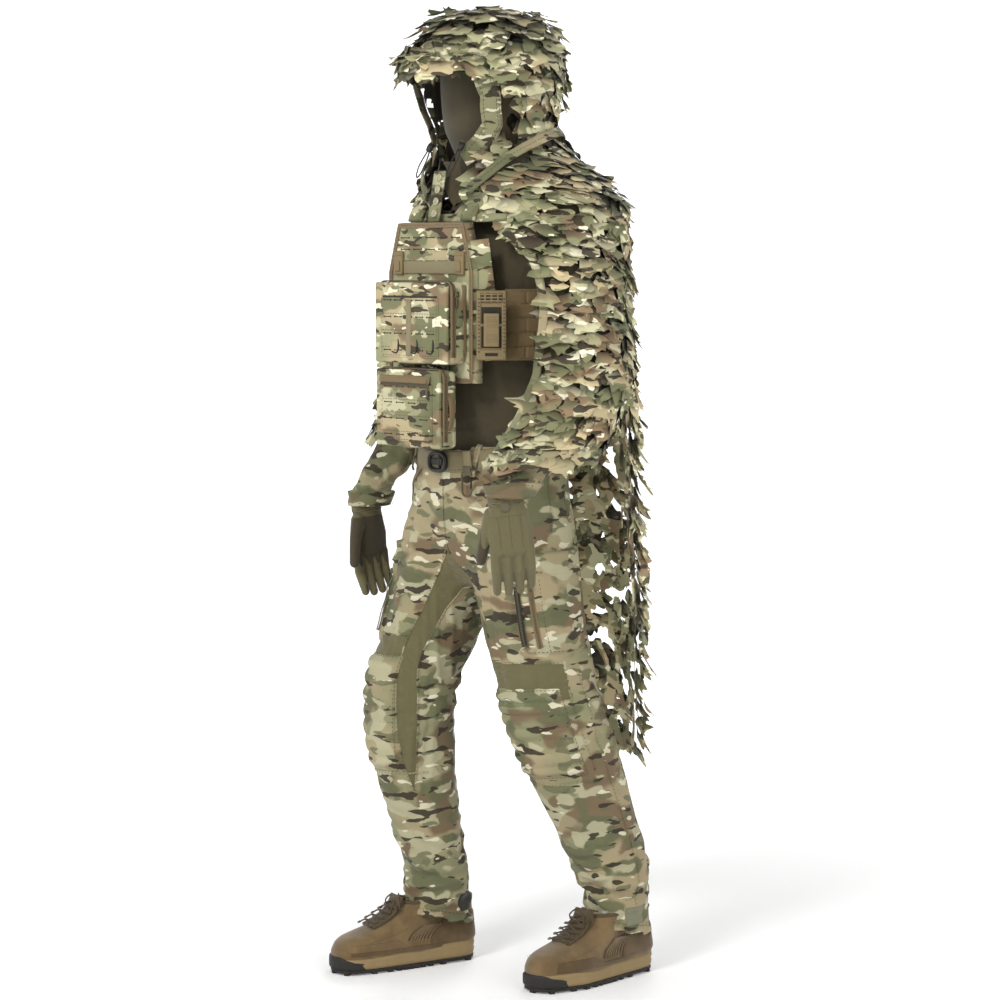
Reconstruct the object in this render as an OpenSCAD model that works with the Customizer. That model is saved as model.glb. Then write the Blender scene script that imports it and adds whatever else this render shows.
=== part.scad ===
// Hooded ghillie suit on a combat outfit: leaf-cut hood and cape over a shirt, plate carrier
// with two pouches, trousers, gloves and boots. The suit faces -Y, its left side is +X.
// Every garment is a hollow shell, as if held up by its wearer.

/* [Cloth] */
// Wall of the shirt, trousers and mask shells
cloth_t = 4; // [3:0.5:5]
// Wall of the leaf-cut hood and cape, leaves included
leaf_t = 8; // [6:1:9]
// Sides of each garment ring
sides = 20; // [16:2:24]

/* [Plate carrier] */
// Width of a plate bag
plate_w = 250; // [230:5:260]
// Height of a plate bag
plate_h = 300; // [280:5:305]
// Thickness of a plate bag
plate_t = 24; // [20:1:24]
// Width of a shoulder strap
strap_w = 40; // [36:1:42]
// Height of the cummerbund
band_h = 134; // [110:2:140]
// Width of a side buckle
buckle_w = 56; // [50:1:60]

/* [Pouches] */
// Width of the upper pouch
upper_w = 216; // [190:2:224]
// Height of the upper pouch
upper_h = 152; // [120:2:154]
// Depth of the upper pouch's case
upper_d = 40; // [30:1:42]
// Width of the lower pouch
lower_w = 192; // [160:2:200]
// Height of the lower pouch
lower_h = 146; // [120:2:150]
// Depth of the lower pouch's case
lower_d = 36; // [28:1:38]
// Thickness of a padded pouch lid
lid_t = 9; // [6:0.5:10]
// Wall of a pouch
pouch_wall = 3; // [2:0.5:4]

/* [Boots] */
// Length of a boot's sole
boot_l = 310; // [296:2:312]
// Width of a boot at the ball of the foot
boot_w = 108; // [98:2:112]
// Thickness of the lugged outsole
outsole_t = 9; // [6:1:12]
// Thickness of the foam midsole
midsole_t = 24; // [18:1:28]
// Height of the boot's collar above the floor
collar_h = 128; // [118:2:134]

/* [Fittings] */
// Length of a zip slider's pull tab
pull_l = 24; // [16:1:28]
// Diameter of the hood's elastic drawcord
cord_d = 2.6; // [2:0.1:3]
// Diameter of a snap fastener's cap
snap_d = 15; // [12:1:16]

/* [Hidden] */

camo = "#8d8763";
leaf = "#7f7d55";
olive = "#6b6440";
coyote = "#7a6546";
boot_brown = "#7b5a33";
sole_tan = "#a5824d";
black = "#2b2a28";

middle_x = -8.2;     // shift that centres the suit on the origin
middle_y = -16.5;
gap = 0.6;           // clearance between neighbouring garments
over = 1;            // overrun of a cutter past the face that it opens

// A section is [centre x, centre y, height, half width, half depth]; all are horizontal.
// A sixth number is the front's own half depth.
function point_at(s, a, inset) = let (front = len(s) > 5 && cos(a) > 0 ? s[5] : s[4])
    [s[0] + (s[3] - inset) * sin(a), s[1] - (front - inset) * cos(a), s[2]];
function ring(s, n, inset) = [for (i = [0:n - 1]) point_at(s, 360 * i / n, inset)];
function flat_list(lists) = [for (l = lists) for (p = l) p];
function grow(secs, g) = [for (s = secs) [for (i = [0:len(s) - 1]) i < 3 ? s[i] : s[i] + g]];
function raise(s, dz) = [for (i = [0:len(s) - 1]) i == 2 ? s[i] + dz : s[i]];
function mixed(a, b, t) = a + (b - a) * t;
// The section at height z, between the two that it lies between.
function section_at(secs, z, i = 0) =
    i >= len(secs) - 2 || z <= secs[i + 1][2]
    ? mixed(secs[i], secs[i + 1], (z - secs[i][2]) / (secs[i + 1][2] - secs[i][2]))
    : section_at(secs, z, i + 1);

// A closed solid through the sections, from the lowest to the highest.
module loft(secs, n = sides)
    polyhedron(points = flat_list([for (s = secs) ring(s, n, 0)]), faces = tube_faces(len(secs), n));

// The same, hollow, with its lower and upper ends open or closed.
module shell(secs, wall, open_low = true, open_high = true, n = sides) {
    last = len(secs) - 1;
    low = open_low ? -over : wall;
    high = open_high ? over : -wall;
    thin = grow(secs, -wall);
    inside = [for (j = [0:last]) raise(thin[j], j == 0 ? low : j == last ? high : 0)];
    difference() {
        loft(secs, n);
        loft(inside, n);
    }
}

// A wall that follows part of each section. An arc is [section, first angle, last angle],
// with angles from the front (-Y) towards the left (+X).
function arc_row(arc, n, inset) = [for (i = [0:n]) point_at(arc[0], mixed(arc[1], arc[2], i / n), inset)];
module arc_wall(arcs, wall, n) {
    m = len(arcs);
    w = n + 1;
    o = m * w;
    polyhedron(
        points = concat(flat_list([for (a = arcs) arc_row(a, n, 0)]),
                        flat_list([for (a = arcs) arc_row(a, n, wall)])),
        faces = concat(
            flat_list([for (j = [0:m - 2]) for (i = [0:n - 1]) let (p = j * w + i, q = p + w)
                [[p, q, q + 1], [p, q + 1, p + 1],
                 [o + p, o + q + 1, o + q], [o + p, o + p + 1, o + q + 1]]]),
            flat_list([for (i = [0:n - 1]) let (q = (m - 1) * w + i)
                [[i, i + 1, o + i + 1], [i, o + i + 1, o + i],
                 [q + 1, q, o + q], [q + 1, o + q, o + q + 1]]]),
            flat_list([for (j = [0:m - 2]) let (p = j * w, q = p + w)
                [[p, o + p, o + q], [p, o + q, q],
                 [p + n, q + n, o + q + n], [p + n, o + q + n, o + p + n]]])));
}

// A box with its low corner on Z = 0, centred in X and Y, with round vertical corners.
module pad(w, d, h, r) {
    hull()
        for (x = [-1, 1]) for (y = [-1, 1])
            translate([x * (w / 2 - r), y * (d / 2 - r), 0]) cylinder(r = r, h = h, $fn = 24);
}

// A round tube swept along points that lie near one plane, whose normal is given.
function unit(v) = v / norm(v);
function tube_ring(path, j, r, normal, n) =
    let (t = unit(path[min(j + 1, len(path) - 1)] - path[max(j - 1, 0)]))
    let (e = unit(cross(normal, t)), f = cross(t, e))
    [for (i = [0:n - 1]) path[j] + r * (cos(360 * i / n) * e + sin(360 * i / n) * f)];
function tube_faces(m, n) = concat(
    [[for (i = [0:n - 1]) i]],
    [[for (i = [n - 1:-1:0]) (m - 1) * n + i]],
    flat_list([for (j = [0:m - 2]) for (i = [0:n - 1])
        let (p = j * n + i, q = j * n + (i + 1) % n)
        [[p, p + n, q + n], [p, q + n, q]]]));
module sweep(path, r, normal, n = 8)
    polyhedron(points = flat_list([for (j = [0:len(path) - 1]) tube_ring(path, j, r, normal, n)]),
               faces = tube_faces(len(path), n));

// ---- Garment sections ----
torso = [
    [0, 4, 985, 146, 104], [0, 2, 1060, 146, 104], [0, 0, 1130, 148, 106], [0, 0, 1220, 154, 110],
    [0, 0, 1330, 164, 114], [0, 2, 1400, 166, 112], [0, 6, 1445, 140, 98], [0, 12, 1480, 98, 84],
    [0, 14, 1505, 60, 68], [0, 12, 1550, 53, 62]
];
arm_left = [
    [303, -208, 962, 38, 44], [302, -172, 1000, 42, 50], [300, -106, 1062, 48, 58],
    [297, -38, 1125, 53, 66], [292, 0, 1175, 55, 62], [280, 14, 1230, 57, 60],
    [256, 16, 1300, 60, 62], [228, 16, 1370, 62, 64], [198, 14, 1425, 58, 62], [168, 12, 1462, 36, 46]
];
arm_right = [
    [-290, -74, 902, 37, 42], [-288, -58, 944, 42, 46], [-284, -20, 1000, 46, 50], [-281, 30, 1060, 50, 52],
    [-276, 64, 1112, 54, 55], [-272, 72, 1160, 55, 56], [-254, 70, 1290, 58, 58],
    [-228, 58, 1368, 60, 58], [-202, 46, 1410, 52, 52], [-176, 34, 1438, 32, 38]
];
leg_left = [
    [166, 184, 62, 64, 74], [164, 186, 150, 62, 68], [160, 186, 215, 66, 72], [154, 150, 310, 74, 80],
    [146, 104, 420, 84, 92], [139, 74, 500, 86, 94], [130, 44, 590, 88, 96], [118, 18, 700, 92, 100],
    [108, 8, 800, 96, 108], [96, 4, 900, 84, 114]
];
leg_right = [
    [-138, -18, 66, 68, 77], [-138, -22, 150, 62, 68], [-138, -30, 215, 62, 67], [-136, -55, 310, 66, 72],
    [-134, -84, 420, 76, 82], [-130, -98, 520, 82, 88], [-126, -88, 600, 84, 92], [-114, -48, 700, 90, 98],
    [-106, -16, 800, 95, 108], [-96, 0, 900, 84, 114]
];
seat = [
    [0, 6, 775, 66, 66], [0, 5, 806, 118, 90], [0, 5, 845, 158, 110], [0, 6, 900, 180, 124],
    [0, 6, 985, 174, 124], [0, 5, 1050, 163, 118], [0, 4, 1150, 156, 113]
];
hood = [
    [0, 8, 1458, 116, 136], [0, 8, 1500, 112, 128], [0, 6, 1550, 105, 116], [0, 6, 1600, 98, 110],
    [0, 4, 1640, 106, 118], [0, -1, 1690, 120, 138], [0, -3, 1740, 126, 148], [0, -2, 1790, 122, 144],
    [0, 2, 1830, 104, 124], [0, 6, 1858, 72, 88], [0, 6, 1872, 36, 46]
];
mask = [
    [0, 6, 1553, 58, 64], [0, 2, 1600, 64, 74], [0, -2, 1640, 72, 90], [0, 0, 1700, 78, 100],
    [0, 2, 1750, 80, 102], [0, 4, 1800, 72, 92], [0, 6, 1835, 50, 66], [0, 6, 1850, 26, 34]
];
yoke = [
    [25, 40, 1442, 240, 198, 158], [25, 42, 1500, 232, 190, 150], [16, 42, 1545, 186, 164, 148],
    [8, 34, 1590, 134, 126, 146], [0, 28, 1632, 112, 106, 134]
];
waist_tilt = 18;     // the waistband rises towards the back
waist_z = 1072;      // height of the waistband's top at the middle
sole_top = outsole_t + midsole_t;

// ---- Hood ----
module hood_solid(g) loft(grow(hood, g));
module face_hole() {
    translate([0, -60, 0]) rotate([90, 0, 0]) linear_extrude(200)
        polygon([[-80, 1742], [-84, 1700], [-72, 1645], [-44, 1596], [-20, 1582],
                 [20, 1582], [44, 1596], [72, 1645], [84, 1700], [80, 1742]]);
}
// The hood and the yoke meet at a V-shaped seam that rises from the throat to the nape.
seam_tilt = 26;
module above_seam(lift) translate([0, -126, 1465 + lift]) rotate([90 + seam_tilt, 0, 0])
    translate([0, 0, -500]) linear_extrude(700)
        polygon([[0, 0], [400, 229], [400, 800], [-400, 800], [-400, 229]]);
module hood_shell() color(leaf) difference() {
    intersection() {
        shell(hood, leaf_t, true, false);
        above_seam(0.5);
    }
    face_hole();
}
module hood_brim() color(leaf) difference() {
    loft([[0, -62, 1746, 102, 132], [0, -66, 1762, 104, 130], [0, -62, 1778, 98, 120]]);
    hood_solid(gap);
    translate([0, 200 - 40, 1700]) cube([400, 400, 200], center = true);
}
module face_mask() color(olive) shell(mask, cloth_t, true, false);

// ---- Neck placket with its snap caps ----
placket_w = 34;
placket_h = 98;
placket_at = [-4, -133.5, 1464];
placket_lean = -10;
module at_placket() translate(placket_at) rotate([placket_lean, 0, 0]) children();
module neck_placket() color(camo) at_placket() pad(placket_w, 4, placket_h, 1.9);
module placket_snaps() color(olive) at_placket()
    for (i = [0:3])
        translate([4, -2, 15 + i * 23]) rotate([90, 0, 0]) cylinder(d = snap_d, h = 3, $fn = 40);

// ---- Drawcords: a lock at each lower corner of the face opening, with a loop below ----
lock_r = 6;
lock_h = 16;
lock_at = [46, -112, 1598];
lock_lean = -32;
module at_lock(s) translate([s * lock_at[0], lock_at[1], lock_at[2]]) rotate([lock_lean, 0, 0]) children();
module cord_lock(s) color(black) at_lock(s) difference() {
    cylinder(r = lock_r, h = lock_h, $fn = 40);
    translate([0, 0, lock_h - 8]) cylinder(r = lock_r - 2, h = 9, $fn = 40);
}
module lock_plunger(s) color(black) at_lock(s)
    translate([0, 0, lock_h - 3.5]) cylinder(r = lock_r - 2.3, h = 8, $fn = 40);
// The left drawcord's loop, out of the lock's foot and back into it; the right one mirrors it.
loop_route = [
    [49.5, -112, 1597.5], [51, -115, 1592], [53, -119, 1585], [54, -124, 1577], [54, -129, 1569],
    [53, -133, 1561], [51, -137, 1554], [48, -139, 1549.5], [45.5, -140, 1548], [43, -139, 1549.5],
    [40, -137, 1554], [38.5, -133, 1561], [38, -129, 1569], [38.5, -124, 1577], [40, -119, 1585],
    [41.5, -115, 1592], [42.5, -112, 1597.5]
];
module hood_cord(s) color(black)
    sweep([for (p = loop_route) [s * p[0], p[1], p[2]]], cord_d / 2, [0, -0.85, 0.53]);

// ---- Cape ----
module cape_yoke() color(leaf) difference() {
    loft(yoke);
    loft([for (s = grow(yoke, -leaf_t)) raise(s, s[2] < 1450 ? -over : s[2] > 1600 ? over : 0)]);
    above_seam(-0.5);
    // The front edge stops above the plate bag.
    translate([-129, -400, 1400]) cube([258, 340, 64]);
    for (s = [0, 1]) mirror([s, 0, 0]) translate([-gap, 0, 0])
        strap_slab(strap_r + gap, 0, strap_w + 2 * gap);
}
module cape_back() color(leaf)
    arc_wall([[[0, 46, 1128, 266, 220], 118, 230], [[0, 44, 1240, 266, 216], 118, 228],
              [[0, 42, 1360, 264, 206], 118, 228], [[0, 40, 1440, 262, 199], 118, 229]], leaf_t, 12);
sleeve_left_arcs = [
    [[286, -100, 1036, 78, 110], -20, 200], [[283, -52, 1110, 83, 110], -20, 200],
    [[270, -22, 1194, 94, 118, 134], -14, 196], [[240, -4, 1300, 94, 106, 126], -4, 188],
    [[210, 8, 1372, 100, 104, 128], 6, 172], [[168, 15, 1439, 92, 106, 138], 12, 160]
];
sleeve_right_arcs = [
    [[-272, 42, 1036, 78, 98], 200, 380], [[-268, 62, 1110, 80, 96], 200, 378],
    [[-258, 68, 1194, 90, 98], 200, 376], [[-238, 66, 1300, 92, 94], 196, 370],
    [[-212, 60, 1372, 92, 90], 192, 364], [[-170, 44, 1439, 90, 92], 190, 350]
];
module cape_sleeve_left() color(leaf) arc_wall(sleeve_left_arcs, leaf_t, 12);
module cape_sleeve_right() color(leaf) arc_wall(sleeve_right_arcs, leaf_t, 12);

tail_arcs = [
    [[0, 60, 408, 270, 224], 152, 200], [[0, 60, 440, 270, 225], 138, 214],
    [[0, 60, 500, 270, 225], 132, 224], [[0, 60, 600, 270, 225], 128, 229],
    [[0, 60, 700, 270, 225], 122, 234], [[0, 58, 810, 270, 224], 116, 242],
    [[0, 52, 960, 268, 222], 116, 240], [[0, 46, 1100, 266, 220], 118, 230]
];
module cape_tail() color(leaf) arc_wall(tail_arcs, leaf_t, 14);

// ---- Shirt and gloves ----
module torso_solid(g) loft(grow(torso, g));
module shirt_body() color(olive) difference() {
    shell(torso, cloth_t);
    for (secs = [arm_left, arm_right])
        loft(grow(secs, -cloth_t - gap));
}
module shirt_sleeve(secs) color(camo) difference() {
    shell(secs, cloth_t, true, false);
    torso_solid(gap);
}
module finger(a, b, r) hull() {
    translate(a) sphere(r = r, $fn = 14);
    translate(b) sphere(r = r, $fn = 14);
}
// A relaxed hand pointing down from the wrist at its origin, its back towards +X,
// its thumb towards -Y; curl leans the fingers forward.
module hand(curl) {
    difference() {
        hull() {
            translate([0, 0, 0]) resize([44, 58, 20]) sphere(r = 20, $fn = 20);
            translate([0, 2, -60]) resize([34, 86, 40]) sphere(r = 20, $fn = 20);
            translate([-curl * 0.05, 2, -92]) resize([28, 84, 26]) sphere(r = 20, $fn = 20);
        }
        translate([0, 0, -80]) hull() {
            resize([18, 60, 16]) sphere(r = 10, $fn = 16);
            translate([0, 0, 84]) resize([36, 48, 16]) sphere(r = 10, $fn = 16);
        }
    }
    for (k = [0:3])
        finger([-3, -29 + k * 20, -96], [-6 - curl, -31 + k * 19, -158 - 12 * sin(45 + k * 40)], 10.5);
    finger([-10, -38, -46], [-24, -56, -104], 11);
}
module glove_left() color(olive) translate([303, -214, 962]) rotate([7, 0, -36]) hand(16);
module glove_right() color(olive) translate([-290, -78, 904]) rotate([4, 0, 0]) mirror([1, 0, 0]) hand(20);

// ---- Plate carrier ----
plate_z = 1462 - plate_h;
plate_y = 120;
module plate_bag() rotate([90, 0, 0]) linear_extrude(plate_t)
    polygon([[-plate_w / 2, 0], [plate_w / 2, 0], [plate_w / 2, plate_h - 92],
             [plate_w / 2 - 28, plate_h], [-plate_w / 2 + 28, plate_h], [-plate_w / 2, plate_h - 92]]);
module front_plate_bag() color(camo) translate([0, -plate_y, plate_z]) plate_bag();
module back_plate_bag() color(camo) translate([0, plate_y + plate_t, plate_z]) plate_bag();
strap_r = 119;
strap_rise = 60;
strap_x = 59;
module strap_slab(r, low, w) translate([strap_x, 0, 1462.5]) rotate([90, 0, 90]) linear_extrude(w)
    intersection() {
        scale([1, strap_rise / strap_r]) circle(r = r, $fn = 48);
        translate([0, 100 + low]) square([400, 200], center = true);
    }
module shoulder_strap() color(camo) difference() {
    strap_slab(strap_r, 0, strap_w);
    translate([-1, 0, 0]) strap_slab(strap_r - 11, -1, strap_w + 2);
}
band_z = 1204;
module cummerbund() color(coyote)
    arc_wall([[[0, 0, band_z, 178, 134], 62, 132], [[0, 0, band_z + band_h, 180, 134], 62, 132]], 9, 14);
// The side buckle faces outwards and forwards from the plate bag's edge.
module at_buckle() translate([157, -125, band_z + 2]) rotate([0, 0, 50]) children();
module side_buckle() color(coyote) at_buckle() difference() {
    pad(buckle_w, 9, band_h - 4, 3);
    translate([0, -4, -over]) translate([-15.5, -20, 24]) cube([31, 20, 82]);
}
module buckle_release() color(coyote) at_buckle()
    translate([0, -6.6, 25.5]) pad(29, 4, 62, 1.8);
module placard_clips() color(coyote)
    for (s = [-1, 1]) translate([s * 92, -plate_y - plate_t - 4.2, 1364]) pad(26, 7, 44, 3);

// ---- Pouches ----
upper_y = -plate_y - plate_t - gap;
upper_z = 1198;
module pouch_case(w, d, h) difference() {
    translate([0, -d / 2, 0]) pad(w, d, h, 8);
    translate([0, -d / 2 - pouch_wall - 4, pouch_wall]) pad(w - 2 * pouch_wall, d + 8, h - 2 * pouch_wall, 6);
}
module upper_pouch_case() color(camo)
    translate([0, upper_y, upper_z]) pouch_case(upper_w, upper_d, upper_h);
module upper_pouch_lid() color(camo)
    translate([0, upper_y - upper_d - gap - lid_t / 2, upper_z]) pad(upper_w, lid_t, upper_h, 4);
module slider(l) {
    pad(9, 6, 12, 2.5);
    translate([0, -1, -l + 3]) pad(7, 2.4, l, 1);
}
module upper_zip_slider() color(olive)
    translate([upper_w / 2 + 3.6, upper_y - upper_d + 10, upper_z + upper_h - 28])
        rotate([0, 0, 90]) slider(pull_l);
lower_y = -156;
lower_z = 1040;
module lower_pouch_case() color(camo)
    translate([0, lower_y, lower_z]) pouch_case(lower_w, lower_d, lower_h);
module lower_pouch_lid() color(camo)
    translate([0, lower_y - lower_d - gap - lid_t / 2, lower_z]) pad(lower_w, lid_t, lower_h, 4);
module pocket_zip_slider() color(olive)
    translate([lower_w / 2 - 30, lower_y - lower_d - gap - lid_t - 3.4, lower_z + lower_h - 30])
        slider(pull_l);

// ---- Trousers ----
module trouser_solid(g) {
    loft(grow(leg_left, g));
    loft(grow(leg_right, g));
    loft(grow(seat, g));
}
// Each hem is higher over the boot's tongue than at the heel.
module hem_cut(x, y) translate([x, y, 104]) rotate([-12, 0, 0])
    translate([-100, -60, -100]) cube([200, 260, 100]);
module waist_cut() translate([0, 5, waist_z]) rotate([waist_tilt, 0, 0])
    translate([-300, -300, 0]) cube([600, 600, 300]);
function opened(secs) = let (thin = grow(secs, -cloth_t))
    [for (j = [0:len(secs) - 1]) raise(thin[j], j == 0 ? -over : j == len(secs) - 1 ? 0.5 : 0)];
module trousers() color(camo) difference() {
    trouser_solid(0);
    loft(opened(leg_left));
    loft(opened(leg_right));
    loft([for (s = grow(seat, -cloth_t)) raise(s, s[2] < 780 ? 6 : s[2] > 1100 ? 10 : 0)]);
    waist_cut();
    hem_cut(166, 110);
    hem_cut(-138, -94);
}
function arcs_on(secs, levels, g, a0, a1) =
    [for (z = levels) let (s = section_at(secs, z)) [[s[0], s[1], z, s[3] + g, s[4] + g], a0, a1]];
module knee_pad(secs, z, a0, a1) color(camo)
    arc_wall(arcs_on(secs, [z - 84, z - 42, z, z + 42, z + 84], 2.6 + 11, a0, a1), 11, 8);
module thigh_pocket(secs, a0, a1) color(camo)
    arc_wall(arcs_on(secs, [648, 700, 750, 800, 834], 1.6 + 13, a0, a1), 13, 7);
module thigh_slider(secs, a) let (s = section_at(secs, 770)) color(olive)
    translate([s[0] + (s[3] + 21) * sin(a), s[1] - (s[4] + 21) * cos(a), 770])
        rotate([0, 0, a]) slider(pull_l);
module ankle_tab(secs, a0, a1) color(black)
    arc_wall(arcs_on(secs, [104, 140], 1.4 + 4, a0, a1), 4, 5);
module at_waist() translate([0, 5, waist_z]) rotate([waist_tilt, 0, 0]) children();
module belt() color(olive) difference() {
    intersection() {
        loft(grow(seat, 5));
        at_waist() translate([-300, -300, -46]) cube([600, 600, 40]);
    }
    loft(grow(seat, gap));
}
module belt_buckle() color(black)
    translate([0, -128.5, 988]) difference() {
        pad(58, 8, 42, 3.5);
        translate([-16, -10, 14]) cube([32, 20, 14]);
    }
// A webbing-hung snap hook on the left front of the belt, with a sprung gate.
hook_at = [80, -118, 948];
hook_turn = 28;
module at_hook() translate(hook_at) rotate([0, 0, hook_turn]) children();
module key_hook() color(olive) at_hook() difference() {
    union() {
        translate([0, -3.5, 12]) rotate([90, 0, 0]) translate([0, 0, -4]) linear_extrude(8) hull() {
            circle(r = 12, $fn = 32);
            translate([0, 28]) circle(r = 11, $fn = 32);
        }
        translate([0, -2.5, 44]) pad(18, 5, 42, 2);
    }
    translate([0, 10, 12]) rotate([90, 0, 0]) cylinder(r = 8, h = 30, $fn = 40);
    translate([-7, -20, 12]) cube([15, 40, 28]);
    translate([4, -20, 14]) cube([20, 40, 22]);
}
module key_hook_gate() color(black) at_hook() translate([6.3, -3.5, 15]) pad(4, 6, 20, 1.5);

// ---- Boots: the toe points to -Y, the heel's back is at the origin ----
function boot_rings(g) = [
    [0, -boot_l * 0.5 + 3, sole_top, boot_w * 0.46 - g, boot_l * 0.485 - g],
    [0, -boot_l * 0.5 + 6, sole_top + 22, boot_w * 0.45 - g, boot_l * 0.47 - g],
    [0, -boot_l * 0.40, sole_top + 38, boot_w * 0.42 - g, boot_l * 0.375 - g],
    [0, -boot_l * 0.30, sole_top + 48, boot_w * 0.39 - g, boot_l * 0.265 - g],
    [0, -boot_l * 0.245, collar_h - 32, boot_w * 0.37 - g, boot_l * 0.205 - g],
    [0, -boot_l * 0.235, collar_h, boot_w * 0.36 - g, boot_l * 0.185 - g]
];
module sole_shape(g) hull() {
    translate([0, -40]) circle(r = 39 + g, $fn = 32);
    translate([4, -boot_l * 0.68]) circle(r = boot_w / 2 - 2 + g, $fn = 32);
    translate([-2, -boot_l + 46]) circle(r = 44 + g, $fn = 32);
}
module boot_outsole() color(black) linear_extrude(outsole_t) sole_shape(0);
module boot_midsole() color(sole_tan) translate([0, 0, outsole_t]) linear_extrude(midsole_t) sole_shape(-1);
module boot_upper() color(boot_brown) difference() {
    loft(boot_rings(0), 28);
    loft([for (s = boot_rings(4))
        raise(s, s[2] == sole_top ? 4 : s[2] == collar_h ? over : 0)], 28);
}
module boot_laces() color(coyote) difference() {
    for (i = [0:4])
        translate([-24, -boot_l * (0.70 - i * 0.05), sole_top + 41 + i * 4.6]) rotate([0, 90, 0])
            cylinder(r = 2.2, h = 48, $fn = 20);
    loft(grow(boot_rings(-0.3), 0), 28);
}
module at_boot(s) if (s > 0)
    translate([170, 260, 0]) rotate([0, 0, 2]) children();
else
    translate([-119, 53, 0]) rotate([0, 0, -12]) mirror([1, 0, 0]) children();

// Puts the origin under the middle of the suit's bounding box.
module placed() translate([middle_x, middle_y, 0]) children();

placed() hood_shell();
placed() hood_brim();
placed() face_mask();
placed() neck_placket();
placed() placket_snaps();
placed() cord_lock(1);  // cord_lock_left
placed() cord_lock(-1);  // cord_lock_right
placed() lock_plunger(1);  // lock_plunger_left
placed() lock_plunger(-1);  // lock_plunger_right
placed() hood_cord(1);  // hood_cord_left
placed() hood_cord(-1);  // hood_cord_right
placed() cape_yoke();
placed() cape_sleeve_left();
placed() cape_sleeve_right();
placed() cape_back();
placed() cape_tail();
placed() shirt_body();
placed() shirt_sleeve(arm_left);  // shirt_sleeve_left
placed() shirt_sleeve(arm_right);  // shirt_sleeve_right
placed() glove_left();
placed() glove_right();
placed() front_plate_bag();
placed() back_plate_bag();
placed() shoulder_strap();  // shoulder_strap_left
placed() mirror([1, 0, 0]) shoulder_strap();  // shoulder_strap_right
placed() cummerbund();  // cummerbund_left
placed() mirror([1, 0, 0]) cummerbund();  // cummerbund_right
placed() side_buckle();  // side_buckle_left
placed() mirror([1, 0, 0]) side_buckle();  // side_buckle_right
placed() buckle_release();  // buckle_release_left
placed() mirror([1, 0, 0]) buckle_release();  // buckle_release_right
placed() placard_clips();
placed() upper_pouch_case();
placed() upper_pouch_lid();
placed() upper_zip_slider();
placed() lower_pouch_case();
placed() lower_pouch_lid();
placed() pocket_zip_slider();
placed() trousers();
placed() knee_pad(leg_left, 500, -58, 64);  // knee_pad_left
placed() knee_pad(leg_right, 524, -64, 58);  // knee_pad_right
placed() thigh_pocket(leg_left, 34, 124);  // thigh_pocket_left
placed() thigh_pocket(leg_right, -124, -34);  // thigh_pocket_right
placed() thigh_slider(leg_left, 52);  // thigh_zip_slider_left
placed() thigh_slider(leg_right, -52);  // thigh_zip_slider_right
placed() ankle_tab(leg_left, 66, 106);  // ankle_tab_left
placed() ankle_tab(leg_right, 100, 140);  // ankle_tab_right
placed() belt();
placed() belt_buckle();
placed() key_hook();
placed() key_hook_gate();
placed() at_boot(1) boot_upper();  // boot_upper_left
placed() at_boot(-1) boot_upper();  // boot_upper_right
placed() at_boot(1) boot_midsole();  // boot_midsole_left
placed() at_boot(-1) boot_midsole();  // boot_midsole_right
placed() at_boot(1) boot_outsole();  // boot_outsole_left
placed() at_boot(-1) boot_outsole();  // boot_outsole_right
placed() at_boot(1) boot_laces();  // boot_laces_left
placed() at_boot(-1) boot_laces();  // boot_laces_right
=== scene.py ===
"""Ghillie suit on a standing field outfit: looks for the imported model. Metres, +Z up, the suit faces -Y."""

import math
import random

import bmesh
import bpy
import numpy as np
from mathutils import Matrix, Vector, noise
from mathutils.bvhtree import BVHTree


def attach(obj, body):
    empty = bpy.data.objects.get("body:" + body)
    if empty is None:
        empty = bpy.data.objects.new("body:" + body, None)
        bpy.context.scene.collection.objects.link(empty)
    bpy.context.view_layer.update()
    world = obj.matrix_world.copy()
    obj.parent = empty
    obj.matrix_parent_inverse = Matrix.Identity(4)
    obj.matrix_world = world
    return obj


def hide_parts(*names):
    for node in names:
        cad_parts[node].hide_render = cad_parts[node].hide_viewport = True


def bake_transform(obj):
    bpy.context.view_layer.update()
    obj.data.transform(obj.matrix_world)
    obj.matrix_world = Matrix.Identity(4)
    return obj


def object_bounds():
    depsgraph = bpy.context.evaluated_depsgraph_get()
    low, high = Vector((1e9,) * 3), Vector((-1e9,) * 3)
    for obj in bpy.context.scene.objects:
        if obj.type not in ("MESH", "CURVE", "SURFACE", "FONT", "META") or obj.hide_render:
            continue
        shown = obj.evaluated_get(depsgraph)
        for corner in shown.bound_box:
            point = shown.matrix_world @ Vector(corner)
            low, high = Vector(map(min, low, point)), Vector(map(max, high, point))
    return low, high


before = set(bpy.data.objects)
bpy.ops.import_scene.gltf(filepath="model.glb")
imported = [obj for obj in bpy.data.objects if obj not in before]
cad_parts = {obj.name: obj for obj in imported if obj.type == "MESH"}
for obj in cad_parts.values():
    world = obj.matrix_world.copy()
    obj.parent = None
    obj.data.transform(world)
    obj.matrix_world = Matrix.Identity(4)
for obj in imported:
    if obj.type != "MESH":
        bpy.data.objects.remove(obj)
cad_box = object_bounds()

SHIFT = np.array([-0.0082, -0.0165, 0.0])      # the same shift as in the part's source
MM = 0.001


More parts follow.
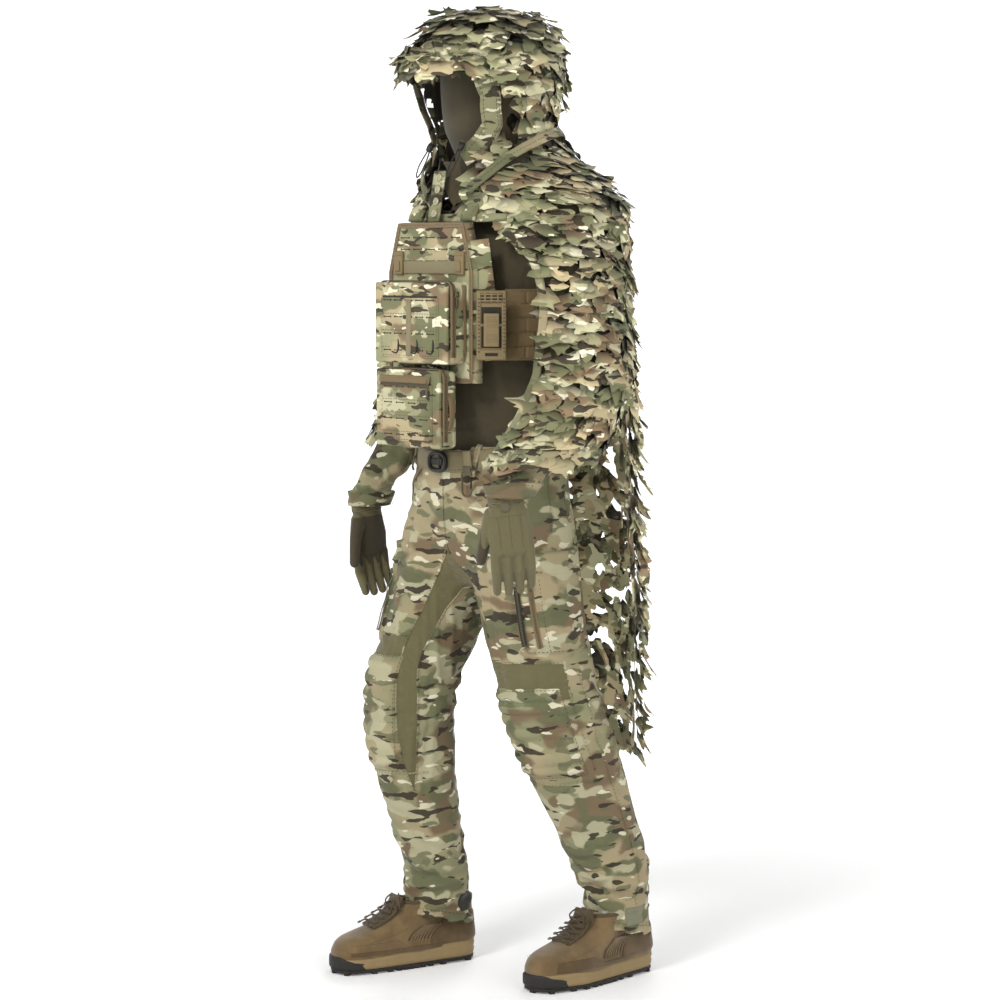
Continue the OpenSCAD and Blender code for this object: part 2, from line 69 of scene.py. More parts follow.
# ---------------------------------------------------------------- camera and light
VIEW = math.radians(50.0)                      # the camera stands to the suit's left front
right = np.array([math.cos(VIEW), math.sin(VIEW), 0.0])
backward = np.array([math.sin(VIEW), -math.cos(VIEW), 0.0])
eye = right * 0.021 + backward * 5.5 + np.array([0, 0, 1.40]) + SHIFT
pitch = math.radians(4.9)
gaze = Vector(-backward * math.cos(pitch) + np.array([0, 0, -math.sin(pitch)]))
camera = bpy.data.objects.new("camera", bpy.data.cameras.new("camera"))
bpy.context.collection.objects.link(camera)
camera.location = eye
camera.rotation_euler = gaze.to_track_quat("-Z", "Y").to_euler()
camera.data.sensor_width = 36
camera.data.lens = 102.6
bpy.context.scene.camera = camera
bpy.context.scene.view_settings.view_transform = "Standard"


def light(name, place, size, power, colour=(1, 1, 1)):
    lamp = bpy.data.objects.new(name, bpy.data.lights.new(name, "AREA"))
    bpy.context.collection.objects.link(lamp)
    lamp.location = place
    lamp.rotation_euler = (Vector((0, 0, 1.0)) - Vector(place)).to_track_quat("-Z", "Y").to_euler()
    lamp.data.shape = "DISK"
    lamp.data.size = size
    lamp.data.energy = power
    lamp.data.color = colour


light("key", (1.4, -4.4, 4.2), 1.3, 150)
light("side", (5.0, -0.6, 3.0), 2.2, 40)
light("rim", (-2.6, 3.0, 3.6), 2.0, 55)
world = bpy.data.worlds.new("world")
bpy.context.scene.world = world
world.use_nodes = True
world.node_tree.nodes["Background"].inputs[0].default_value = (1, 1, 1, 1)
world.node_tree.nodes["Background"].inputs[1].default_value = 0.22


# ---------------------------------------------------------------- materials
class Nodes:
    """Short calls for building one material's node tree."""

    def __init__(self, name, rough=0.85, sheen=0.0, metal=0.0):
        self.material = bpy.data.materials.new(name)
        self.material.use_nodes = True
        self.tree = self.material.node_tree
        self.shader = self.tree.nodes["Principled BSDF"]
        self.shader.inputs["Roughness"].default_value = rough
        self.shader.inputs["Metallic"].default_value = metal
        self.shader.inputs["Sheen Weight"].default_value = sheen
        self.shader.inputs["Specular IOR Level"].default_value = 0.3
        self.place = self.add("ShaderNodeTexCoord").outputs["Object"]

    def add(self, kind, **values):
        node = self.tree.nodes.new(kind)
        for key, value in values.items():
            setattr(node, key, value)
        return node

    def link(self, output, socket):
        self.tree.links.new(output, socket)

    def scaled(self, scale, source=None):
        node = self.add("ShaderNodeMapping")
        node.inputs["Scale"].default_value = scale
        self.link(source or self.place, node.inputs["Vector"])
        return node.outputs[0]

    def noise(self, vector, scale, detail=2.0, rough=0.5):
        node = self.add("ShaderNodeTexNoise")
        node.inputs["Scale"].default_value = scale
        node.inputs["Detail"].default_value = detail
        node.inputs["Roughness"].default_value = rough
        self.link(vector, node.inputs["Vector"])
        return node.outputs["Fac"]

    def offset(self, vector, shift):
        node = self.add("ShaderNodeVectorMath", operation="ADD")
        self.link(vector, node.inputs[0])
        node.inputs[1].default_value = shift
        return node.outputs[0]

    def mask(self, value, low, high):
        node = self.add("ShaderNodeMapRange", interpolation_type="SMOOTHSTEP")
        node.inputs["From Min"].default_value = low
        node.inputs["From Max"].default_value = high
        self.link(value, node.inputs["Value"])
        return node.outputs[0]

    def math(self, kind, a, b):
        node = self.add("ShaderNodeMath", operation=kind)
        for socket, value in ((node.inputs[0], a), (node.inputs[1], b)):
            if isinstance(value, (int, float)):
                socket.default_value = value
            else:
                self.link(value, socket)
        return node.outputs[0]

    def mix(self, amount, a, b, blend="MIX"):
        node = self.add("ShaderNodeMix", data_type="RGBA", blend_type=blend)
        sockets = [s for s in node.inputs if s.enabled]
        for socket, value in zip(sockets, (amount, a, b)):
            if isinstance(value, (int, float)):
                socket.default_value = value
            elif isinstance(value, tuple):
                socket.default_value = (*value, 1)
            else:
                self.link(value, socket)
        return [s for s in node.outputs if s.enabled][0]

    def finish(self, colour, *bumps):
        """Sets the colour, and stacks bumps given as (height, strength, distance)."""
        self.link(colour, self.shader.inputs["Base Color"])
        last = None
        for height, strength, distance in bumps:
            bump = self.add("ShaderNodeBump")
            bump.inputs["Strength"].default_value = strength
            bump.inputs["Distance"].default_value = distance
            self.link(height, bump.inputs["Height"])
            if last:
                self.link(last, bump.inputs["Normal"])
            last = bump.outputs[0]
        if last:
            self.link(last, self.shader.inputs["Normal"])
        return self.material


def srgb(r, g, b):
    """A colour given as 0-255 sRGB, in linear light."""
    return tuple((v / 255 / 12.92) if v < 10 else ((v / 255 + 0.055) / 1.055) ** 2.4 for v in (r, g, b))


def weave(n, scale=900.0):
    """Fine cloth weave: two crossed waves."""
    waves = []
    for direction in ("X", "Z"):
        wave = n.add("ShaderNodeTexWave", wave_type="BANDS", bands_direction=direction)
        wave.inputs["Scale"].default_value = scale / 6.3
        n.link(n.place, wave.inputs["Vector"])
        waves.append(wave.outputs["Fac"])
    return n.math("ADD", waves[0], waves[1])


def toned_and_shaded(n, colour):
    """The colour multiplied by a mesh's own tone attribute, which holds random tone and painted shade."""
    tone = n.add("ShaderNodeAttribute", attribute_name="tone").outputs["Fac"]
    grey = n.add("ShaderNodeCombineColor")
    for k in range(3):
        n.link(tone, grey.inputs[k])
    return n.mix(1.0, colour, grey.outputs[0], "MULTIPLY")


TAN = srgb(150, 137, 106)
SAGE = srgb(126, 125, 94)
PALE = srgb(164, 160, 130)
GREEN = srgb(90, 92, 65)
BROWN = srgb(104, 86, 64)
DARK = srgb(50, 42, 32)
CREAM = srgb(200, 194, 168)


def camo(name, scale=1.0, bright=1.0, leafy=False, rough=0.9, crumple=0.35):
    """Soft multi-tone pattern: tan fading to sage, green and brown patches, small dark and pale marks; with leafy,
    also multiplied by the tone attribute, which holds painted shade.
    """
    n = Nodes(name, rough=rough, sheen=0.06)
    wobble = n.add("ShaderNodeTexNoise")
    wobble.inputs["Scale"].default_value = 34 * scale
    wobble.inputs["Detail"].default_value = 2
    n.link(n.place, wobble.inputs["Vector"])
    bend = n.add("ShaderNodeVectorMath", operation="MULTIPLY_ADD")
    bend.inputs[1].default_value = (0.024 / scale, 0.024 / scale, 0.014 / scale)
    n.link(wobble.outputs["Color"], bend.inputs[0])
    n.link(n.place, bend.inputs[2])
    level = n.scaled((1, 1, 1.7), bend.outputs[0])
    flat = n.scaled((1, 1, 3.0), bend.outputs[0])
    thin = n.scaled((1, 1, 3.6), bend.outputs[0])

    def marks(source, shift, size, low, high, amount=1.0):
        found = n.mask(n.noise(n.offset(source, shift), size * scale, 1.0, 0.4), low, high)
        return n.math("MULTIPLY", found, amount)

    colour = n.mix(marks(level, (0, 0, 0), 6.0, 0.40, 0.60), TAN, SAGE)
    colour = n.mix(marks(level, (9, 4, 2), 9.5, 0.53, 0.60, 0.9), colour, BROWN)
    colour = n.mix(marks(level, (3, 1, 7), 10.5, 0.53, 0.585, 0.9), colour, GREEN)
    colour = n.mix(marks(level, (5, 8, 3), 15.0, 0.57, 0.60, 0.85), colour, PALE)
    colour = n.mix(marks(flat, (2, 6, 1), 17.0, 0.60, 0.625, 0.8), colour, GREEN)
    colour = n.mix(marks(thin, (7, 3, 5), 19.0, 0.618, 0.634, 0.95), colour, DARK)
    colour = n.mix(marks(flat, (1, 2, 13), 23.0, 0.674, 0.688, 0.9), colour, CREAM)
    # leaf cloth: the tone attribute darkens it as painted shade under and between the flaps
    if leafy:
        colour = toned_and_shaded(n, colour)
    shade = n.mix(n.noise(n.place, 4.0, 3.0), (0.84 * bright,) * 3, (1.12 * bright,) * 3)
    colour = n.mix(1.0, colour, shade, "MULTIPLY")
    folds = n.noise(n.scaled((1, 1, 1.6)), 42.0, 3.0, 0.55)
    return n.finish(colour, (folds, crumple, 0.006), (weave(n), 0.2, 0.0004))


def cloth(name, colour, rough=0.9, sheen=0.15, vary=0.16, grain=420.0, bump=0.3, scale=900.0, crumple=0.0):
    """Plain cloth: weave, slight fading and fine mottling."""
    n = Nodes(name, rough=rough, sheen=sheen)
    dark = tuple(c * (1 - vary) for c in colour)
    pale = tuple(min(1, c * (1 + vary)) for c in colour)
    base = n.mix(n.noise(n.place, 9.0, 4.0, 0.6), dark, pale)
    speck = n.mix(n.noise(n.place, grain, 2.0), (0.86, 0.86, 0.86), (1.12, 1.12, 1.12))
    bumps = [(weave(n, scale), bump, 0.0004)]
    if crumple:
        bumps.insert(0, (n.noise(n.scaled((1, 1, 1.6)), 40.0, 3.0, 0.55), crumple, 0.006))
    return n.finish(n.mix(1.0, base, speck, "MULTIPLY"), *bumps)


def moulded(name, colour, rough=0.45, metal=0.0, vary=0.12, grain=700.0):
    """Moulded or cast piece: fine grain, with slightly rubbed patches."""
    n = Nodes(name, metal=metal)
    patch = n.noise(n.place, 60.0, 3.0, 0.6)
    base = n.mix(patch, tuple(c * (1 - vary) for c in colour), tuple(min(1, c * (1 + vary)) for c in colour))
    rub = n.add("ShaderNodeMapRange")
    rub.inputs["To Min"].default_value = rough * 0.85
    rub.inputs["To Max"].default_value = min(1, rough * 1.2)
    n.link(patch, rub.inputs["Value"])
    n.link(rub.outputs[0], n.shader.inputs["Roughness"])
    return n.finish(base, (n.noise(n.place, grain, 2.0), 0.12, 0.0003))


def suede(name, colour):
    """Napped leather with darker rubbed clouds."""
    n = Nodes(name, rough=0.95, sheen=0.3)
    cloud = n.mask(n.noise(n.place, 26.0, 4.0, 0.6), 0.35, 0.7)
    base = n.mix(cloud, tuple(c * 0.8 for c in colour), tuple(c * 1.15 for c in colour))
    return n.finish(base, (n.noise(n.place, 900.0, 3.0, 0.7), 0.5, 0.0006))


CAMO = camo("camo_cloth")
GEAR = camo("camo_gear", 1.1, 1.3, crumple=0.15)
LEAF = camo("leaf_cloth", 1.1, 1.5, leafy=True, crumple=0.0)
# tail cloth: a brighter copy of the leaf cloth, as painted light on the tail
TAILCLOTH_LIT = camo("tail_cloth_lit", 1.1, 2.1, leafy=True, crumple=0.0)
# the base net, coloured dark brown as painted shade under the flaps
NET_AND_SHADE = cloth("net_cloth_and_shade", srgb(62, 54, 36), vary=0.25)
STRETCH = cloth("olive_stretch", srgb(94, 88, 60), vary=0.10, grain=700.0, crumple=0.8)
# shirt body: a darker copy of the olive stretch cloth, as painted shade under the cape
SHIRT_SHADED = cloth("olive_jersey_shaded", srgb(68, 61, 44), vary=0.12, grain=700.0, crumple=0.25)
# mask: a darker copy of the olive stretch cloth, as painted shade under the hood
MASK_SHADED = cloth("mask_jersey_shaded", srgb(66, 60, 44), vary=0.12, grain=700.0)
KNIT = cloth("glove_knit", srgb(92, 86, 60), vary=0.1, grain=520.0)
PALM = cloth("glove_palm", srgb(62, 55, 40), vary=0.12, grain=520.0)
COYOTE = cloth("coyote_nylon", srgb(112, 94, 64), vary=0.1, grain=600.0)
WEBBING = cloth("tan_webbing", srgb(126, 116, 86), vary=0.1, grain=500.0, bump=0.5, scale=1600.0)
TAPE = cloth("olive_tape", srgb(118, 100, 72), vary=0.1, grain=500.0, bump=0.5, scale=1600.0)
THREAD = cloth("thread", srgb(70, 60, 42), vary=0.1)
# dark cloth: a dark zip tape, and painted shade in the slits, buckle holes and seam gaps
DARK_CLOTH_AND_SHADE = cloth("dark_cloth_and_shade", srgb(40, 36, 28), vary=0.15)
BLACK_CORD = cloth("black_cord", srgb(34, 33, 29), vary=0.2, grain=900.0)
PILE = cloth("hook_and_loop", srgb(46, 46, 38), vary=0.2, grain=1400.0, bump=0.6)
GREYPILE = cloth("grey_hook_and_loop", srgb(116, 116, 94), vary=0.2, grain=1400.0, bump=0.6)
BUCKLE = moulded("tan_plastic", srgb(118, 102, 70), 0.5)
BLACKP = moulded("black_plastic", srgb(36, 34, 31), 0.42)
OLIVEP = moulded("olive_plastic", srgb(80, 74, 54), 0.5)
ZIPM = moulded("zip_metal", srgb(92, 84, 64), 0.4, metal=0.6)
SNAPM = moulded("snap_metal", srgb(164, 160, 130), 0.42, metal=0.4)
SUEDE = suede("suede", srgb(108, 88, 58))
SUEDE_DARK = suede("suede_dark", srgb(88, 70, 44))
MESHY = cloth("boot_mesh", srgb(78, 66, 45), rough=0.9, vary=0.15, grain=900.0, bump=0.9, scale=500.0)
MIDSOLE = moulded("midsole_foam", srgb(134, 115, 80), 0.7, grain=300.0)
OUTSOLE = moulded("outsole_rubber", srgb(36, 33, 30), 0.6, grain=240.0)
LACE = cloth("lace", srgb(74, 60, 40), vary=0.2, grain=900.0, bump=0.7)


# ---------------------------------------------------------------- pieces
def piece(name, shape, material, body="suit", slot=None, smooth=True, stands_for=()):
    """One visual piece, from (points, faces) in metres about the suit's own middle."""
    verts, faces = shape
    mesh = bpy.data.meshes.new(name)
    points = np.asarray([tuple(v) for v in verts], dtype=float) + SHIFT
    mesh.from_pydata(points.tolist(), [], [tuple(map(int, f)) for f in faces])
    mesh.validate()
    mesh.polygons.foreach_set("use_smooth", [smooth] * len(mesh.polygons))
    mesh.materials.append(material)
    thing = bpy.data.objects.new(name, mesh)
    bpy.context.collection.objects.link(thing)
    if body:
        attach(thing, body)
    if stands_for:
        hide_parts(*stands_for)
    return thing


def grid_faces(rows, across, ring=True, loop=False):
    """Four-sided faces over rows of points. ring closes each row, loop joins the last row to the first."""
    faces = []
    for j in range(rows if loop else rows - 1):
        k = (j + 1) % rows
        for i in range(across if ring else across - 1):
            n = (i + 1) % across
            faces.append((j * across + i, j * across + n, k * across + n, k * across + i))
    return faces


def lids(rows, across):
    """Faces that close the first and the last row of points."""
    return [tuple(range(across))[::-1], tuple((rows - 1) * across + i for i in range(across))]


def circle(n):
    """n angles round a full turn."""
    return [2 * math.pi * i / n for i in range(n)]


def studio():
    """A pale floor that sweeps up into a white backdrop."""
    n = Nodes("studio", rough=0.95)
    far = n.add("ShaderNodeVectorMath", operation="LENGTH")
    n.link(n.place, far.inputs[0])
    glow = n.mask(far.outputs["Value"], 0.5, 3.2)
    tint = n.mix(n.noise(n.place, 0.8, 2.0), (0.88, 0.88, 0.88), (0.92, 0.92, 0.92))
    n.link(tint, n.shader.inputs["Base Color"])
    n.shader.inputs["Emission Color"].default_value = (1, 1, 1, 1)
    n.link(n.math("ADD", n.math("MULTIPLY", glow, 0.40), 0.10), n.shader.inputs["Emission Strength"])
    flat, bend, sides = 6.5, 4.0, 72
    rings = [(r, 0.0) for r in (0.0001, 0.5, 1, 2, 3, 4.5, flat)]
    rings += [(flat + bend * math.sin(a), bend * (1 - math.cos(a))) for a in np.linspace(0.15, math.pi / 2, 10)]
    rings.append((flat + bend, 9))
    verts = [(r * math.cos(a), r * math.sin(a), z) for r, z in rings for a in circle(sides)]
    mesh = bpy.data.meshes.new("studio")
    mesh.from_pydata(verts, [], grid_faces(len(rings), sides))
    mesh.polygons.foreach_set("use_smooth", [True] * len(mesh.polygons))
    mesh.materials.append(n.material)
    thing = bpy.data.objects.new("studio", mesh)
    bpy.context.collection.objects.link(thing)


studio()


def unit(v):
    v = np.asarray(v, float)
    return v / max(np.linalg.norm(v), 1e-9)


def direction(points, j, closed):
    """The way a route runs at its point j."""
    m = len(points)
    before, after = ((j - 1) % m, (j + 1) % m) if closed else (max(j - 1, 0), min(j + 1, m - 1))
    return unit(points[after] - points[before])


def sweep(points, radius, n=8, closed=False):
    """A round tube's points and faces along a route."""
    points = [np.asarray(p, float) for p in points]
    m = len(points)
    verts = []
    side = None
    for j in range(m):
        t = direction(points, j, closed)
        if side is None:
            side = np.cross(t, (0.31, 0.42, 0.85))
        side = unit(side - t * side.dot(t))
        other = np.cross(t, side)
        r = radius(j / (m - 1)) if callable(radius) else radius
        verts.extend(points[j] + r * (math.cos(a) * side + math.sin(a) * other) for a in circle(n))
    faces = grid_faces(m, n, loop=closed)
    return verts, faces if closed else faces + lids(m, n)


# A strap's cross-section: shares of its width and of its thickness.
STRAP = [(-0.5, 0.1), (-0.46, 0.8), (-0.25, 1), (0, 1), (0.25, 1), (0.46, 0.8), (0.5, 0.1), (0.46, -0.1),
         (-0.46, -0.1)]


def ribbon(points, normals, width, thick=0.0015, closed=False):
    """A flat strap along a route, with its edges rounded off."""
    points = [np.asarray(p, float) for p in points]
    m = len(points)
    verts = []
    for j in range(m):
        t = direction(points, j, closed)
        n = np.asarray(normals[j], float)
        n = unit(n - t * n.dot(t))
        s = np.cross(t, n)
        verts.extend(points[j] + s * (x * width) + n * (z * thick) for x, z in STRAP)
    faces = grid_faces(m, len(STRAP), loop=closed)
    return verts, faces if closed else faces + lids(m, len(STRAP))


def joined(parts):
    """Several (verts, faces) shapes as one."""
    verts, faces = [], []
    for v, f in parts:
        base = len(verts)
        verts.extend(v)
        faces.extend(tuple(base + i for i in face) for face in f)
    return verts, faces


def moved(shape, at=(0, 0, 0), turn=0.0, lean=0.0, roll=0.0, mirror=False):
    """A shape rolled about Y, leaned about X, turned about Z (degrees) and put in place."""
    verts, faces = shape
    m = (Matrix.Rotation(math.radians(turn), 3, "Z") @ Matrix.Rotation(math.radians(lean), 3, "X")
         @ Matrix.Rotation(math.radians(roll), 3, "Y"))
    flip = np.array([-1, 1, 1]) if mirror else np.array([1, 1, 1])
    spin = np.array(m)
    out = [spin @ (np.asarray(v, float) * flip) + np.asarray(at, float) for v in verts]
    return out, ([tuple(reversed(f)) for f in faces] if mirror else list(faces))


def curve_points(points, per=6):
    """A smooth curve through a few points."""
    pts = [np.asarray(p, float) for p in points]
    out = []
    for i in range(len(pts) - 1):
        p0, p1, p2, p3 = pts[max(i - 1, 0)], pts[i], pts[i + 1], pts[min(i + 2, len(pts) - 1)]
        for k in range(per):
            t = k / per
            out.append(0.5 * (2 * p1 + (p2 - p0) * t + (2 * p0 - 5 * p1 + 4 * p2 - p3) * t * t
                              + (3 * p1 - p0 - 3 * p2 + p3) * t ** 3))
    out.append(pts[-1])
    return out


def steps(half, radius, count):
    """Places along a box's side, closer together at its rounded ends."""
    ends = [half - radius * (1 - math.sin(math.radians(a))) for a in (90, 67, 45, 22, 0)]
    middle = np.linspace(-(half - radius), half - radius, count + 1)
    return [-e for e in ends[:-1]] + list(middle) + ends[-2::-1]


def soft_box(w, d, h, radius=0.006, bulge=(0, 0, 0), count=8):
    """A rounded box about its own middle, whose faces crown outwards by bulge along x, y and z."""
    half = np.array([w, d, h]) / 2
    radius = min(radius, *(half * 0.98))
    core = half - radius
    lines = [steps(half[k], radius, count) for k in range(3)]
    verts, faces, seen = [], [], {}

    def vertex(p):
        key = tuple(np.round(p, 7))
        if key not in seen:
            q = np.asarray(p, float)
            c = np.clip(q, -core, core)
            off = q - c
            size = np.linalg.norm(off)
            q = c + off * (radius / size) if size > 1e-9 else q
            for k in range(3):
                others = [i for i in range(3) if i != k]
                crown = np.prod([1 - min(1, abs(q[i]) / half[i]) ** 2 for i in others])
                q[k] += bulge[k] * crown * q[k] / half[k]
            seen[key] = len(verts)
            verts.append(q)
        return seen[key]

    for axis in range(3):
        u, v = [i for i in range(3) if i != axis]
        for sign in (-1, 1):
            for a, b in zip(lines[u], lines[u][1:]):
                for c, e in zip(lines[v], lines[v][1:]):
                    corners = []
                    for s, t in ((a, c), (b, c), (b, e), (a, e)):
                        p = [0, 0, 0]
                        p[axis], p[u], p[v] = sign * half[axis], s, t
                        corners.append(vertex(p))
                    face = corners if (sign > 0) != (axis == 1) else corners[::-1]
                    if len(set(face)) > 2:
                        faces.append(tuple(dict.fromkeys(face)))
    return verts, faces


def disc(radius, thick, n=24, ring=0.0):
    """A round button facing -Y with a soft rim; ring > 0 leaves a hollow middle of that radius."""
    profile = [(radius, 0), (radius, -0.6 * thick), (radius * 0.86, -thick)]
    profile += [(ring, -thick), (ring, 0)] if ring else [(radius * 0.5, -thick), (0.0001, -0.85 * thick)]
    verts = [(r * math.cos(a), y, r * math.sin(a)) for r, y in profile for a in circle(n)]
    return verts, grid_faces(len(profile), n)


def measured(points, normals):
    """(whole length, place at a distance, normal at a distance) of a route."""
    run = np.cumsum([0] + [np.linalg.norm(b - a) for a, b in zip(points, points[1:])])
    table, lift = np.array(points), np.array([unit(n) for n in normals])

    def place(s):
        return np.array([np.interp(s, run, table[:, k]) for k in range(3)])

    def normal(s):
        return unit([np.interp(s, run, lift[:, k]) for k in range(3)])

    return run[-1], place, normal


def stitches(points, normals, long=0.0046, gap=0.0034, wide=0.0011):
    """A dashed row of thread along a route."""
    whole, place, normal = measured([np.asarray(p, float) for p in points], normals)
    parts, s = [], gap / 2
    while s + long < whole:
        ends = [place(t) for t in (s, s + long / 2, s + long)]
        n = normal(s)
        side = unit(np.cross(ends[2] - ends[0], n)) * wide / 2
        high = [0.0001, 0.0007, 0.0001]
        verts = [e + side * k + n * h for e, h in zip(ends, high) for k in (-1, 1)]
        parts.append((verts, [(0, 1, 3, 2), (2, 3, 5, 4)]))
        s += long + gap
    return joined(parts)


BLOCK = [(0, 1, 3, 2), (4, 6, 7, 5), (0, 4, 5, 1), (2, 3, 7, 6), (1, 5, 7, 3), (0, 2, 6, 4)]   # a tooth's six sides


def zipper(points, normals, tape=0.014, teeth=0.0042):
    """(tape, teeth) of a closed coil zip along a route."""
    points = [np.asarray(p, float) for p in points]
    whole, place, normal = measured(points, normals)
    parts, s, flip = [], 0.001, 1
    while s < whole:
        p, q, n = place(s), place(s + 0.001), normal(s)
        t = unit(q - p) if s + 0.001 < whole else unit(points[-1] - points[-2])
        side = np.cross(t, n)
        c = p + side * flip * 0.0006 + n * 0.0014
        corners = [c + side * a * teeth / 2 + t * b * 0.0008 + n * e * 0.0009
                   for a in (-1, 1) for b in (-1, 1) for e in (-1, 1)]
        parts.append((corners, BLOCK))
        s += 0.0026
        flip = -flip
    return ribbon(points, normals, tape, 0.0012), joined(parts)


def pull(at, turn=0.0):
    """A zip slider with its cord pull."""
    body = moved(soft_box(0.009, 0.005, 0.012, 0.002), (0, 0, 0.006))
    tab = moved(soft_box(0.0055, 0.0022, 0.018, 0.001), (0, -0.0012, -0.010))
    arch = [(0.0022 * math.cos(a), -0.0035, 0.003 + 0.004 * math.sin(a)) for a in np.linspace(0, math.pi, 9)]
    loop = sweep(arch, 0.0009, 8)
    return moved(joined([body, tab, loop]), at, turn)


# ---------------------------------------------------------------- drawcords
LOOP = [(49.5, -112, 1597.5), (51, -115, 1592), (53, -119, 1585), (54, -124, 1577), (54, -129, 1569),
        (53, -133, 1561), (51, -137, 1554), (48, -139, 1549.5), (45.5, -140, 1548), (43, -139, 1549.5),
        (40, -137, 1554), (38.5, -133, 1561), (38, -129, 1569), (38.5, -124, 1577), (40, -119, 1585),
        (41.5, -115, 1592), (42.5, -112, 1597.5)]
for side, name in ((1, "left"), (-1, "right")):
    route = [np.array((side * x, y, z)) * MM for x, y, z in LOOP]
    fine = curve_points(route, 4)
    cord = piece(f"drawcord_{name}", sweep(fine, 0.0013, 8), BLACK_CORD, slot="black_cord",
                 stands_for=(f"hood_cord_{name}",))
    path = [tuple(p + SHIFT) for p in route]
    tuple(path[0])


# ---------------------------------------------------------------- garment forms
class Form:
    """A smooth tube through rings (x, y, z, half width, back depth, front depth), in millimetres."""

    def __init__(self, rings):
        rows = [tuple(r) + (r[4],) * (6 - len(r)) for r in rings]
        self.rows = np.array(rows, float) * MM
        self.z = self.rows[:, 2]
        n = len(rows)
        self.slope = np.array([(self.rows[min(i + 1, n - 1)] - self.rows[max(i - 1, 0)])
                               / (self.z[min(i + 1, n - 1)] - self.z[max(i - 1, 0)]) for i in range(n)])

    def ring(self, z):
        i = int(np.clip(np.searchsorted(self.z, z) - 1, 0, len(self.z) - 2))
        h = self.z[i + 1] - self.z[i]
        t = (z - self.z[i]) / h
        t = min(max(t, -0.5), 1.5)
        p, q, m0, m1 = self.rows[i], self.rows[i + 1], self.slope[i] * h, self.slope[i + 1] * h
        r = (p * (2 * t ** 3 - 3 * t * t + 1) + m0 * (t ** 3 - 2 * t * t + t)
             + q * (3 * t * t - 2 * t ** 3) + m1 * (t ** 3 - t * t))
        r[2] = z
        return r

    def at(self, angle, z, out=0.0):
        """The point at an angle from the front (-Y) towards the left (+X)."""
        r = self.ring(z)
        a = math.radians(angle)
        depth = r[5] if math.cos(a) > 0 else r[4]
        return np.array([r[0] + (r[3] + out) * math.sin(a), r[1] - (depth + out) * math.cos(a), z])

    def axes(self, angle, z):
        """The point, the direction round the tube, the direction down it, and the outward normal."""
        p = self.at(angle, z)
        u = self.at(angle + 1, z) - self.at(angle - 1, z)
        d = self.at(angle, z - 0.004) - self.at(angle, z + 0.004)
        u /= np.linalg.norm(u)
        d /= np.linalg.norm(d)
        n = np.cross(d, u)
        n /= np.linalg.norm(n)
        r = self.ring(z)
        if n.dot(p - np.array([r[0], r[1], z])) < 0:
            n = -n
        return p, u, d, n

    def grown(self, g):
        rows = self.rows / MM
        rows[:, 3:] += g
        return Form([tuple(r) for r in rows])


def tube_mesh(form, n=56, step=0.012):
    """Rings of a form, closed at both ends."""
    low, high = form.z[0], form.z[-1]
    count = max(2, int(round((high - low) / step)))
    verts = []
    for j in range(count + 1):
        z = low + (high - low) * j / count
        verts.extend(form.at(360 * i / n, z) for i in range(n))
    return verts, grid_faces(count + 1, n) + lids(count + 1, n)


TORSO = Form([(0, 4, 985, 146, 104), (0, 2, 1060, 146, 104), (0, 0, 1130, 148, 106), (0, 0, 1220, 154, 110),
              (0, 0, 1330, 164, 114), (0, 2, 1400, 166, 112), (0, 6, 1445, 140, 98), (0, 12, 1480, 98, 84),
              (0, 14, 1505, 60, 68), (0, 12, 1550, 53, 62)])
ARM_LEFT = Form([(303, -208, 962, 38, 44), (302, -172, 1000, 42, 50), (300, -106, 1062, 48, 58),
                 (297, -38, 1125, 53, 66), (292, 0, 1175, 55, 62), (280, 14, 1230, 57, 60),
                 (256, 16, 1300, 60, 62), (228, 16, 1370, 62, 64), (198, 14, 1425, 58, 62), (168, 12, 1462, 36, 46)])
ARM_RIGHT = Form([(-290, -74, 902, 37, 42), (-288, -58, 944, 42, 46), (-284, -20, 1000, 46, 50),
                  (-281, 30, 1060, 50, 52), (-276, 64, 1112, 54, 55), (-272, 72, 1160, 55, 56),
                  (-254, 70, 1290, 58, 58), (-228, 58, 1368, 60, 58), (-202, 46, 1410, 52, 52),
                  (-176, 34, 1438, 32, 38)])
LEG_LEFT = Form([(166, 184, 62, 64, 74), (164, 186, 150, 62, 68), (160, 186, 215, 66, 72), (154, 150, 310, 74, 80),
                 (146, 104, 420, 84, 92), (139, 74, 500, 86, 94), (130, 44, 590, 88, 96), (118, 18, 700, 92, 100),
                 (108, 8, 800, 96, 108), (96, 4, 900, 84, 114)])
LEG_RIGHT = Form([(-138, -18, 66, 68, 77), (-138, -22, 150, 62, 68), (-138, -30, 215, 62, 67),
                  (-136, -55, 310, 66, 72), (-134, -84, 420, 76, 82), (-130, -98, 520, 82, 88),
                  (-126, -88, 600, 84, 92), (-114, -48, 700, 90, 98), (-106, -16, 800, 95, 108),
                  (-96, 0, 900, 84, 114)])
SEAT = Form([(0, 6, 775, 66, 66), (0, 5, 806, 118, 90), (0, 5, 845, 158, 110), (0, 6, 900, 180, 124),
             (0, 6, 985, 174, 124), (0, 5, 1050, 163, 118), (0, 4, 1150, 156, 113)])
HOOD = Form([(0, 8, 1458, 116, 136), (0, 8, 1500, 112, 128), (0, 6, 1550, 105, 116), (0, 6, 1600, 98, 110),
             (0, 4, 1640, 106, 118), (0, -1, 1690, 120, 138), (0, -3, 1740, 126, 148), (0, -2, 1790, 122, 144),
             (0, 2, 1830, 104, 124), (0, 6, 1858, 72, 88), (0, 6, 1872, 36, 46)])
HEAD = Form([(0, 6, 1553, 58, 64), (0, 2, 1600, 64, 74), (0, -2, 1640, 72, 90), (0, 0, 1700, 78, 100),
             (0, 2, 1750, 80, 102), (0, 4, 1800, 72, 92), (0, 6, 1835, 50, 66), (0, 6, 1850, 26, 34)])
